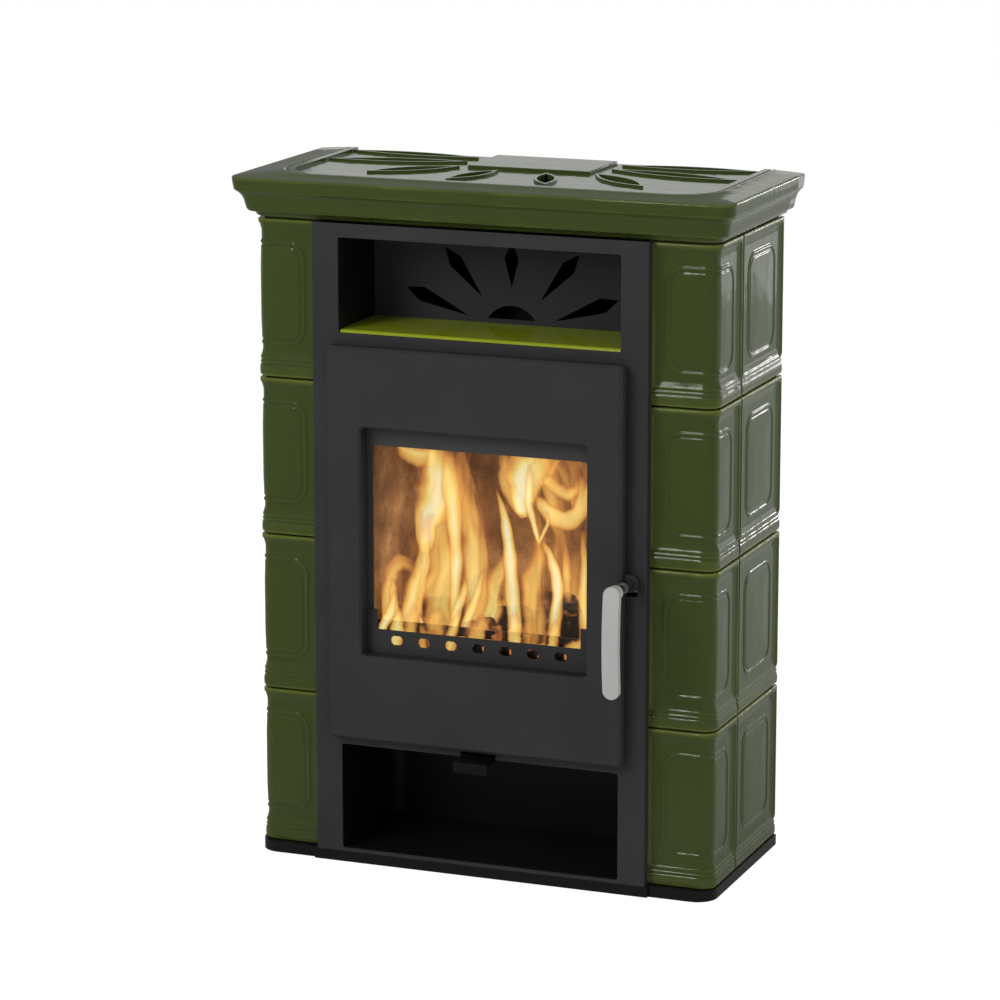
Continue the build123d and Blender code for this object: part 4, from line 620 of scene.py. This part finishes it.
# %% Surfaces of the corner and side tiles
def sheet_of_relief(length, near, far, rim, back, wrap):
    """Grid of one tile: wrap(s, depth) gives x and y; the back closes the loop behind it.

    The lines are close where the relief bends; a corner tile bends in its middle as well.
    """
    if wrap is round_the_corner:
        s_lines = lines((0, 57, 1.25), (57, 76, 3.0), (76, 110, 2.2), (110, 133, 3.0),
                        (133, length, 1.25))
    else:
        s_lines = lines((0, 66, 1.25), (66, length - 66, 3.5), (length - 66, length, 1.25))
    v_lines = lines((0, 74, 1.2), (74, 160, 4.5), (160, TILE_HEIGHT, 1.2))
    s, v = np.meshgrid(s_lines, v_lines, indexing="ij")
    depth = tile_depth(s, v, length, near, far, rim)
    x, y = wrap(s, depth)
    front = np.stack([x, y, v], -1)
    xb, yb = wrap(s[:, :2], np.full_like(s[:, :2], back))
    rear = np.stack([xb, yb, np.broadcast_to([TILE_HEIGHT, 0.0], xb.shape)], -1)
    values = np.concatenate([pooling(depth, s, v, length, s_lines, v_lines, rim),
                             np.zeros(xb.shape)], 1)
    smooth = np.append(np.ones(len(v_lines) - 1, bool), [False] * 3)
    return np.concatenate([front, rear], 1), smooth, values


def round_the_corner(s, depth):
    """Front run, quarter arc, side run: the arc's radius shrinks with the depth."""
    run = CORNER_FRONT - CORNER_RADIUS
    angle = np.clip((s - run) / CORNER_RADIUS, 0.0, math.pi / 2)
    past = np.maximum(s - run - CORNER_RADIUS * math.pi / 2, 0.0)
    radius = CORNER_RADIUS - depth
    x = HALF_WIDTH - CORNER_FRONT + np.minimum(s, run) + radius * np.sin(angle)
    y = CORNER_RADIUS - radius * np.cos(angle) + past
    return x, y


def along_the_side(s, depth):
    """Flat tile on the flank: x from the depth, y along the tile."""
    return HALF_WIDTH - depth, CORNER_SIDE + UPRIGHT_JOINT + s


# %% All sixteen tiles, from two sheets of relief
corner_length = (CORNER_FRONT - CORNER_RADIUS + CORNER_RADIUS * math.pi / 2
                 + CORNER_SIDE - CORNER_RADIUS)
KINDS = {
    "corner_tile": sheet_of_relief(corner_length, near=25.0, far=30.0, rim=7.0, back=18.0,
                                   wrap=round_the_corner),
    "side_tile": sheet_of_relief(BODY_DEPTH - CORNER_SIDE - UPRIGHT_JOINT, near=33.0, far=31.0,
                                 rim=BUTTED_RIM, back=24.0, wrap=along_the_side),
}
for kind, (grid, smooth, values) in KINDS.items():
    for side, sign in (("right", 1.0), ("left", -1.0)):
        for row in range(TILE_ROWS):
            node = f"{kind}_{side}_{row + 1}"
            placed = grid * (sign, 1.0, 1.0) + (0.0, 0.0, TILE_FOOT + row * TILE_PITCH)
            mesh = shell(node + "_glazed", placed, smooth=smooth, values=values)
            tile = keep_piece(mesh, mesh.name, "stove", FINISH["green_glaze"])
            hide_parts(node)
    print(kind, "grid", grid.shape[:2])

# %% [markdown]
# ## Crown
# The crown is a moulded frame of the same glaze: a crisp edge over a leaning band, a cove, a ledge
# and a small foot over the tiles. It could be cut from blocks, but it is made as a potter does with
# a template: one profile carried along the left side, the front and the right side, whole all the
# way round, because its corners are turned as arcs.

# %% Profile and plan of the crown, in millimetres
CORNICE = [  # (beyond the tiles, height): outer face from the top down to the foot
    (5.0, 953.3), (15.0, 952.6), (22.4, 952.1), (24.6, 951.7), (25.7, 950.8), (26.0, 949.2),
    (25.3, 942.0), (24.3, 934.6), (23.6, 932.8), (22.6, 931.6), (21.6, 930.9), (18.6, 927.8),
    (15.8, 923.6), (13.9, 918.5), (12.6, 912.0), (11.4, 906.8), (10.4, 904.6), (9.0, 903.2),
    (5.6, 902.8), (3.4, 902.2), (2.2, 900.6), (1.2, 898.2), (0.0, 896.4), (-2.0, 895.6),
    (-5.0, 895.2),
]
INNER_EDGE = [  # (out from the inner opening, height): wall towards the top tile and a raised lip
    (0.0, TILE_TOP + 0.3), (0.0, 941.4), (0.0, 952.6), (0.7, 954.2), (2.2, CROWN_TOP),
    (4.4, CROWN_TOP), (6.2, 954.4),
]
CROWN_CORNER = 18.0
LEAN_START = 230.0          # from here the profile of the front begins to lean to the side
LEAN_END = 90.0             # and to here, along the side, it still leans to the front
FRONT_FALL = 1.8            # the front's top falls forward by this
FALL_ACROSS = (-13.0, 25.0)     # from inside the tiles to beyond them
FALL_HEIGHT = (934.0, 948.0)
OPENING_HALF = 312.0
OPENING_FRONT = 16.0
OPENING_CORNER = 60.0
print("profile of", len(CORNICE), "points")


# %% Grid of the crown moulding
def opening_at(x, y, out):
    """Points of the crown's inner opening that face the path points x, y, moved out by a distance.

    Before the rounded corner they lie straight across, and round it on the line from its centre.
    """
    cx, cy = OPENING_HALF - OPENING_CORNER, OPENING_FRONT + OPENING_CORNER
    angle = np.arctan2(np.maximum(x - cx, 0.0), np.maximum(cy - y, 1e-6))
    radius = OPENING_CORNER + out
    return (np.minimum(x, cx) + radius * np.sin(angle),
            np.maximum(y, cy) - radius * np.cos(angle))


def cornice_grid():
    """The profile carried round three sides.

    Each row of the grid is one place along the path, each column one point of the profile. A
    straight run moves the profile along; a corner turns every point on an arc of the same radius.
    The profile is resampled about every 1 mm along its length and averaged once with its
    neighbours, so that the light turns softly over it.
    """
    profile = np.array(CORNICE)
    span = np.append(0.0, np.cumsum(np.hypot(*np.diff(profile, axis=0).T)))
    fine = np.linspace(0.0, span[-1], 100)
    over = np.interp(fine, span, profile[:, 0])
    height = np.interp(fine, span, profile[:, 1])
    weights = np.array([0.25, 0.5, 0.25])
    over[1:-1] = np.convolve(over, weights, "valid")
    height[1:-1] = np.convolve(height, weights, "valid")
    arc = np.linspace(0.0, math.pi / 2, 17)
    turn = HALF_WIDTH - CROWN_CORNER
    front_x = lines((0.0, LEAN_START, 22.0), (LEAN_START, turn, 5.0))[:-1]
    side_y = lines((CROWN_CORNER, LEAN_END, 5.0), (LEAN_END, REAR_END, 28.0))[1:]
    # path on the tile faces: x and y of each row, and the direction in which its profile leans
    path_x = np.concatenate([front_x, turn + CROWN_CORNER * np.sin(arc),
                             np.full(len(side_y), HALF_WIDTH)])
    path_y = np.concatenate([np.zeros(len(front_x)), CROWN_CORNER * (1.0 - np.cos(arc)), side_y])
    lean_x = np.concatenate([ease((front_x - LEAN_START) / (turn - LEAN_START)),
                             np.ones(len(arc) + len(side_y))])
    lean_y = np.concatenate([np.ones(len(front_x) + len(arc)),
                             ease(1.0 - (side_y - CROWN_CORNER) / (LEAN_END - CROWN_CORNER))])
    # the fall of the front's top grows towards its edge, and fades round the corner
    front_share = np.concatenate([np.ones(len(front_x)), ease(1.0 - 2.0 * arc / math.pi),
                                  np.zeros(len(side_y))])
    fall = (FRONT_FALL * np.interp(over, FALL_ACROSS, (0.0, 1.0))
            * np.interp(height, FALL_HEIGHT, (0.0, 1.0)))
    outer = np.stack([path_x[:, None] + np.outer(lean_x, over),
                      path_y[:, None] - np.outer(lean_y, over),
                      height - np.outer(front_share, fall)], -1)
    out, inner_height = np.array(INNER_EDGE).T
    inner_x, inner_y = opening_at(path_x[:, None], path_y[:, None], out)
    inner = np.stack([inner_x, inner_y, np.broadcast_to(inner_height, inner_x.shape)], -1)
    right = np.concatenate([outer, inner], 1)
    left = right[:0:-1] * (-1.0, 1.0, 1.0)
    return np.concatenate([left, right], 0), len(left), len(fine)


# %% The crown moulding with its glaze
grid, middle_row, outer_points = cornice_grid()
# glaze gathers where the profile turns inwards and thins where it turns outwards
tangent = np.gradient(grid[middle_row, :, 1:], axis=0)
curl = np.gradient(np.unwrap(np.arctan2(tangent[:, 1], -tangent[:, 0])))
relief = np.clip(np.broadcast_to(-curl * 1.2, grid.shape[:2]), -1.0, 0.3)
relief = np.where(np.arange(grid.shape[1]) < outer_points - 2, relief, 0.0)
# flat under the foot and up the inner wall, smooth over the lip and the top
smooth = np.append(np.ones(outer_points - 1, bool), [False] * 3 + [True] * 5)
mesh = shell("crown_moulding", grid, smooth=smooth, values=relief)
moulding = keep_piece(mesh, "crown_moulding", "stove", FINISH["green_glaze"])
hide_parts("crown_cornice")
print("crown moulding", grid.shape[:2])

# %% [markdown]
# ## Fire
# A wood fire is a family of tongues. Each starts broad on the logs, swings and thins to a tip, and
# each is a bent sheet of glowing gas: straw white along its spine, orange towards its edges, clear
# beyond them. The places of the spines are read in the plane of the glass, from the middle and the
# foot of its opening; a tongue that burns deeper in the firebox is moved along the sight line, so
# that it still fills the same part of the window. A simulated fire would look as good, but it
# takes minutes to work out, and it is no mesh.

# %% Burning gas, charred wood and embers
def living_flame(name):
    """Burning wood gas: glowing soot, from dull red through orange to straw white.

    The mesh's number burn is high along the spine of a tongue. A noise stretched along the tongue
    tears it into threads, and where the sum is low the gas is clear.
    """
    made, tree = new_material(name)
    place = add(tree, "UVMap", uv_map="tongue")
    drawn = add(tree, "Mapping", {"Vector": place, "Scale": (1.7, 0.8, 1.0)})
    threads = add(tree, "TexNoise", {
        "Vector": drawn, "Scale": 1.0, "Detail": 1.0, "Distortion": 0.5})
    heat = add(tree, "Attribute", attribute_name="burn").outputs["Fac"]
    total = add(tree, "Math", {0: threads, 1: 0.9, 2: heat}, operation="MULTIPLY_ADD")
    level = add(tree, "MapRange", {"Value": total, "From Min": 0.42, "From Max": 1.45})
    colour = add(tree, "ValToRGB", {"Fac": level}, [
        (0.0, "#6b3c22"), (0.2, "#a5653a"), (0.4, "#d6974b"), (0.6, "#eac068"), (0.8, "#f7e08e"),
        (1.0, "#fff8cc")])
    body = add(tree, "MapRange", {
        "Value": level, "From Max": 0.5, "To Max": 0.97}, interpolation_type="SMOOTHSTEP")
    # gas glows on top of what is behind it and hides only a part of that
    veil = add(tree, "MapRange", {"Value": body, "To Min": 1.0, "To Max": 0.4})
    gas = add(tree, "BsdfTransparent", {"Color": veil})
    power = add(tree, "Math", {0: body, 1: 0.92}, operation="MULTIPLY")
    glow = add(tree, "Emission", {"Color": colour, "Strength": power})
    mixed = add(tree, "AddShader", {0: gas, 1: glow})
    add(tree, "OutputMaterial", {"Surface": mixed})
    return made


def charred_wood(name, glow):
    """Charcoal: black scales 12 mm across under ash, with fire in patches about 30 mm wide."""
    made, tree = new_material(name)
    coords = add(tree, "TexCoord").outputs["Object"]
    cracks = add(tree, "TexVoronoi", {"Vector": coords, "Scale": 80.0}, feature="DISTANCE_TO_EDGE")
    ash = add(tree, "TexNoise", {"Vector": coords, "Scale": 60.0, "Detail": 5.0})
    colour = add(tree, "ValToRGB", {"Fac": ash},
                 [(0.35, "#0e0b0a"), (0.6, "#2a1f1a"), (0.8, "#7d726a")])
    patch = add(tree, "TexNoise", {
        "Vector": coords, "Scale": 34.0, "Detail": 3.0, "Distortion": 0.8})
    fire = add(tree, "MapRange", {
        "Value": patch, "From Min": 0.72 - glow, "From Max": 0.86 - glow, "To Max": 0.9})
    bump = add(tree, "Bump", {"Height": cracks, "Strength": 0.6, "Distance": 0.003})
    surface = add(tree, "BsdfPrincipled", {
        "Base Color": colour, "Roughness": 0.85, "Normal": bump,
        "Emission Color": linear("#e8843c"), "Emission Strength": fire})
    add(tree, "OutputMaterial", {"Surface": surface})
    return made


FLAME = living_flame("burning wood gas")
CHAR = charred_wood("charred beech", 0.05)
EMBERS = charred_wood("glowing embers", 0.3)
print("fire:", FLAME.name, "over", CHAR.name, "and", EMBERS.name)

# %% Places in the fire, and one tongue
OPENING_FOOT = 312.0
GLASS_Y = -3.0
BRICK_FACE = 166.0
HEARTH_TOP = 298.0
THREAD_ACROSS = 24.0        # millimetres of a tongue to one unit of its noise
THREAD_ALONG = 70.0
SEED_STEP = 0.37
SIGHT_SIDE = -math.tan(camera.rotation_euler.z)
SIGHT_DOWN = -math.tan(math.pi / 2 - camera.rotation_euler.x) / math.cos(camera.rotation_euler.z)


def smoothed(values, reach=4):
    """Running mean with soft weights, the ends held, so that a course has no corners."""
    weights = np.hanning(2 * reach + 3)[1:-1]
    held = np.pad(values, reach, mode="edge")
    return np.convolve(held, weights / weights.sum(), "valid")


def tongue(name, depth, strength, spine, seed):
    """One sheet of flame at a depth behind the tile plane.

    spine lists (x, height, half width) from base to tip. At share t along it and u from -1 to 1
    across, the point is the spine plus u half widths along the spine's normal, swayed by a slow
    wave, and bellied back by a third of its half width times 1 - u^2. Its heat is
    strength (1 - |u|^1.8) (1 - t^5) min(1, 6t + 0.35). The seed moves its map on, so that no two
    tongues are torn alike.
    """
    given = np.array(spine, float)
    share = np.linspace(0.0, 1.0, 65)
    knots = np.linspace(0.0, 1.0, len(given))
    x, height, half = (smoothed(np.interp(share, knots, column)) for column in given.T)
    x = x + 0.08 * half * np.sin(2.0 * math.pi * (2.2 * share + seed))
    along = np.stack([np.gradient(x), np.gradient(height)])
    along /= np.hypot(*along)
    u = np.linspace(-1.0, 1.0, 23)
    ragged = 1.2 * half * (1.0 + 0.06 * np.sin(2.0 * math.pi * (5.3 * share + 1.7 * seed)))
    px = x[:, None] + np.outer(ragged * along[1], u)
    pz = height[:, None] - np.outer(ragged * along[0], u)
    behind = depth + np.outer(half / 3.0, 1.0 - u ** 2)
    px = np.clip(px + SIGHT_SIDE * (behind - GLASS_Y), -BRICK_FACE, BRICK_FACE)
    pz = np.maximum(pz + OPENING_FOOT + SIGHT_DOWN * (behind - GLASS_Y), HEARTH_TOP + 1.0)
    grid = np.stack([px, behind, pz], -1)
    heat = strength * np.outer((1.0 - share ** 5) * np.minimum(1.0, 6.0 * share + 0.35),
                               1.0 - np.abs(u) ** 1.8)
    mesh = shell(name, grid, closed=False, values=heat, label="burn")
    flow = np.stack([np.outer(half, u) / THREAD_ACROSS + 7.3 * seed,
                     np.broadcast_to((height / THREAD_ALONG + seed)[:, None], px.shape)], -1)
    owners = np.empty(len(mesh.loops), np.int32)
    mesh.loops.foreach_get("vertex_index", owners)
    mesh.uv_layers.new(name="tongue").data.foreach_set(
        "uv", flow.reshape(-1, 2)[owners].astype(np.float32).ravel())
    keep_piece(mesh, name, "stove", FLAME)


# %% The tongues: depth, strength, and spine from base to tip
# haze at the back, then the fire from the left, then what burns in front of the log guard
TONGUES = {
    "haze_left": (110, 0.36, [(-101, 8, 58), (-81, 62, 56), (-49, 110, 52), (-40, 156, 45),
        (-49, 211, 43), (-54, 256, 38), (-54, 299, 34)]),
    "haze_middle": (112, 0.34, [(45, 7, 65), (50, 52, 61), (52, 97, 52), (56, 138, 36),
        (59, 167, 20)]),
    "haze_right": (104, 0.34, [(128, 4, 38), (128, 60, 40), (128, 127, 40), (124, 182, 38),
        (108, 237, 49), (95, 280, 58), (95, 311, 58)]),
    "left_curl": (45, 0.55, [(-148, 2, 9), (-139, 45, 8), (-138, 83, 9), (-133, 109, 11),
        (-118, 122, 11), (-101, 116, 9), (-94, 97, 6)]),
    "left_streak": (38, 0.95, [(-127, 7, 9), (-127, 46, 7), (-129, 80, 6), (-131, 102, 3)]),
    "left_sweep": (50, 0.82, [(-112, 7, 17), (-104, 48, 16), (-93, 88, 13), (-85, 124, 10),
        (-83, 163, 9), (-79, 197, 11)]),
    "great_cream": (58, 1.0, [(-83, 134, 7), (-80, 175, 17), (-68, 210, 29), (-63, 244, 28),
        (-65, 271, 20), (-67, 298, 13)]),
    "great_streak": (40, 0.92, [(-40, 21, 7), (-38, 77, 7), (-36, 122, 9), (-36, 167, 10),
        (-40, 212, 13), (-44, 257, 16), (-45, 299, 11)]),
    "great_right": (64, 0.66, [(-22, 16, 13), (-10, 69, 16), (-7, 114, 17), (-10, 159, 20),
        (-19, 203, 18), (-27, 247, 13), (-31, 301, 13)]),
    "great_heart": (70, 0.62, [(-67, 13, 20), (-63, 64, 22), (-58, 109, 25), (-56, 154, 27),
        (-54, 195, 25), (-54, 222, 13)]),
    "great_foot": (34, 0.9, [(-49, 12, 9), (-37, 48, 7), (-26, 83, 6), (-20, 113, 3)]),
    "second_foot": (36, 0.86, [(-30, 12, 8), (-18, 50, 7), (-3, 92, 6), (5, 129, 3)]),
    "foot_left": (42, 0.8, [(-85, 13, 6), (-86, 32, 4), (-92, 49, 2)]),
    "top_lobe": (72, 0.8, [(-63, 275, 11), (-88, 270, 15), (-110, 274, 13), (-127, 283, 8)]),
    "middle": (50, 1.0, [(50, 19, 11), (50, 52, 10), (47, 97, 10), (43, 130, 10), (40, 163, 9),
        (37, 190, 7), (30, 214, 4), (21, 238, 2)]),
    "wedge": (66, 0.72, [(-2, 13, 18), (8, 53, 20), (18, 89, 17), (26, 122, 12), (34, 154, 5)]),
    "right_column": (60, 0.5, [(79, 8, 19), (79, 66, 21), (81, 111, 19), (83, 145, 15),
        (79, 178, 10), (75, 207, 6)]),
    "veil_edge": (44, 0.95, [(104, 7, 10), (109, 47, 9), (113, 92, 8), (110, 125, 8),
        (101, 151, 6), (88, 170, 3)]),
    "vee_left": (42, 0.9, [(86, 162, 3), (77, 189, 4), (71, 215, 6), (71, 244, 6), (75, 278, 6)]),
    "vee_right": (43, 0.85, [(83, 161, 2), (92, 179, 3), (98, 193, 3), (97, 211, 2)]),
    "swirl": (76, 1.0, [(65, 197, 8), (59, 221, 14), (64, 248, 27), (77, 272, 36), (86, 311, 34)]),
    "left_lobe": (82, 0.72, [(60, 199, 6), (46, 222, 10), (37, 246, 10), (35, 275, 11),
        (36, 306, 11)]),
    "crescent": (48, 0.82, [(80, 229, 5), (92, 213, 10), (109, 201, 13), (127, 197, 13),
        (144, 212, 12), (151, 236, 11), (148, 258, 7), (140, 271, 3)]),
    "swirl_core": (60, 0.66, [(92, 260, 10), (110, 242, 11), (127, 234, 10), (140, 244, 8),
        (137, 262, 4)]),
    "right_strip": (52, 0.62, [(150, 17, 8), (149, 84, 7), (150, 140, 6), (147, 189, 4)]),
    "strip_inner": (70, 0.5, [(126, 82, 8), (124, 126, 8), (123, 171, 6), (124, 196, 3)]),
    "right_low": (40, 1.0, [(140, 1, 21), (141, 10, 19), (145, 20, 9), (151, 33, 3)]),
    "front_corner": (12, 0.8, [(-151, 16, 3), (-144, 27, 6), (-135, 43, 7), (-129, 62, 5),
        (-126, 84, 2)]),
    "front_first": (12, 0.85, [(-127, -2, 10), (-126, 12, 11), (-123, 26, 10), (-120, 42, 7),
        (-119, 58, 3)]),
    "front_sweep": (13, 0.5, [(-106, 17, 9), (-103, 32, 11), (-99, 48, 11), (-96, 68, 5)]),
    "front_second": (12, 0.46, [(-85, 0, 8), (-85, 12, 9), (-84, 26, 8), (-86, 40, 5)]),
    "front_heart": (15, 0.5, [(-68, 14, 12), (-66, 28, 14), (-64, 44, 13), (-60, 64, 7)]),
    "front_third": (12, 0.8, [(-46, -2, 8), (-44, 12, 9), (-42, 26, 8), (-36, 44, 6),
        (-30, 64, 3)]),
    "front_dim": (14, 0.4, [(2, 16, 24), (4, 28, 25), (8, 42, 21), (12, 60, 9)]),
    "front_gap": (16, 0.44, [(-12, 16, 10), (-8, 28, 12), (-4, 42, 12), (0, 60, 7)]),
    "front_middle": (12, 0.75, [(48, 18, 10), (49, 32, 10), (50, 50, 8), (50, 70, 4)]),
    "front_ember": (14, 0.34, [(80, 16, 17), (80, 30, 18), (80, 46, 15), (80, 64, 6)]),
    "front_veil": (12, 0.7, [(103, 14, 8), (105, 30, 8), (107, 46, 7), (109, 64, 3)]),
    "front_low": (12, 0.85, [(132, 14, 15), (138, 22, 12), (146, 32, 7), (151, 46, 3)]),
}
for number, (name, (depth, strength, spine)) in enumerate(TONGUES.items()):
    tongue("flame_" + name, depth, strength, spine, SEED_STEP * number)
print(len(TONGUES), "tongues of flame")


# %% [markdown]
# Under the flames lie three logs on a heap of embers. They are seen only as dark shapes and a glow
# between the tongues, so a waved bar and a waved sheet are enough.

# %% Logs
def log(name, start, end, radius, seed, tall=1.0):
    """A burning log between two points: a bar whose bark bulges in waves round and along it.

    At share t along and angle a round it the radius is multiplied by one plus three sine waves of
    a and t, and drawn in by a quarter at both ends. tall stretches it upwards and thins it.
    """
    start, end = np.array(start, float), np.array(end, float)
    axis = (end - start) / np.linalg.norm(end - start)
    side = np.cross(axis, (0.0, 0.0, 1.0))
    side /= np.linalg.norm(side)
    up = np.cross(side, axis)
    t = np.linspace(0.0, 1.0, 40)[:, None]
    turn = np.linspace(0.0, 2.0 * math.pi, 48, endpoint=False)[None, :]
    bulge = (0.06 * np.sin(3 * turn + 9 * t + seed) + 0.04 * np.sin(7 * turn - 14 * t)
             + 0.03 * np.sin(13 * turn + 31 * t + 2 * seed))
    reach = radius * (1.0 + bulge) * (1.0 - 0.25 * t ** 12 - 0.25 * (1.0 - t) ** 12)
    grid = (start + (end - start) * t[..., None]
            + side * (reach / tall * np.cos(turn))[..., None]
            + up * (reach * tall * np.sin(turn))[..., None])
    keep_piece(shell(name, grid), name, "stove", CHAR)
    print(name, round(float(np.linalg.norm(end - start))), "mm long")


log("log_back", (-140.0, 150.0, 336.0), (110.0, 170.0, 330.0), 34.0, 0.4)
log("log_front", (-60.0, 82.0, 326.0), (96.0, 108.0, 330.0), 25.0, 2.2)
log("log_right", (54.0, 190.0, 352.0), (105.0, 62.0, 343.0), 25.0, 4.1, 1.3)

# %% Embers
# the heap is 9 mm and two sine waves of 3 mm each, and falls to the hearth in front and behind
EMBER_HALF = 150.0
EMBER_FRONT = 34.0
EMBER_BACK = 220.0
along, across = 90, 60
ember_x = np.linspace(-EMBER_HALF, EMBER_HALF, along)[:, None]
ember_y = np.linspace(EMBER_FRONT, EMBER_BACK, across)[None, :]
waves = (3.0 * np.sin(ember_x / 7.0 + 2.0 * np.sin(ember_y / 11.0))
         + 3.0 * np.sin(ember_y / 6.0 + ember_x / 19.0))
heap = (9.0 + waves) * np.sin(math.pi * np.linspace(0.0, 1.0, across))[None, :] ** 0.5
bed = np.stack(np.broadcast_arrays(ember_x, ember_y, HEARTH_TOP + 0.5 + heap), -1)
under = bed[:, [-1, 0]] * (1.0, 1.0, 0.0) + (0.0, 0.0, HEARTH_TOP + 0.3)
mesh = shell("ember_bed", np.concatenate([bed, under], 1))
keep_piece(mesh, "ember_bed", "stove", EMBERS)
print("embers up to", round(float(heap.max()), 1), "mm high")

# %% The fire's own light on the bricks, from lamps that are never seen
for name, place, watts in (("fire glow left", (-0.06, -0.06, 0.44), 0.6),
                           ("fire glow right", (0.09, -0.05, 0.40), 0.5)):
    data = bpy.data.lights.new(name, "POINT")
    data.energy = watts
    data.color = linear("#fff0e0")[:3]
    data.shadow_soft_size = 0.05
    lamp = in_scene(name, data)
    lamp.location = place
    lamp.visible_camera = lamp.visible_glossy = lamp.visible_transmission = False
    print(name, watts, "W")

# %% [markdown]
# ## Soft edges
# Last, the front's steel and the flat pieces of the crown get their eased edges.

# %% Eased edges on the steel and the crown's flat pieces
softened("crown_top", 1.0, 2, joined=False)
softened("crown_cover", 1.5, 3)
softened("door_leaf", 1.6, 3)
softened("face_panel", 0.5, 2)
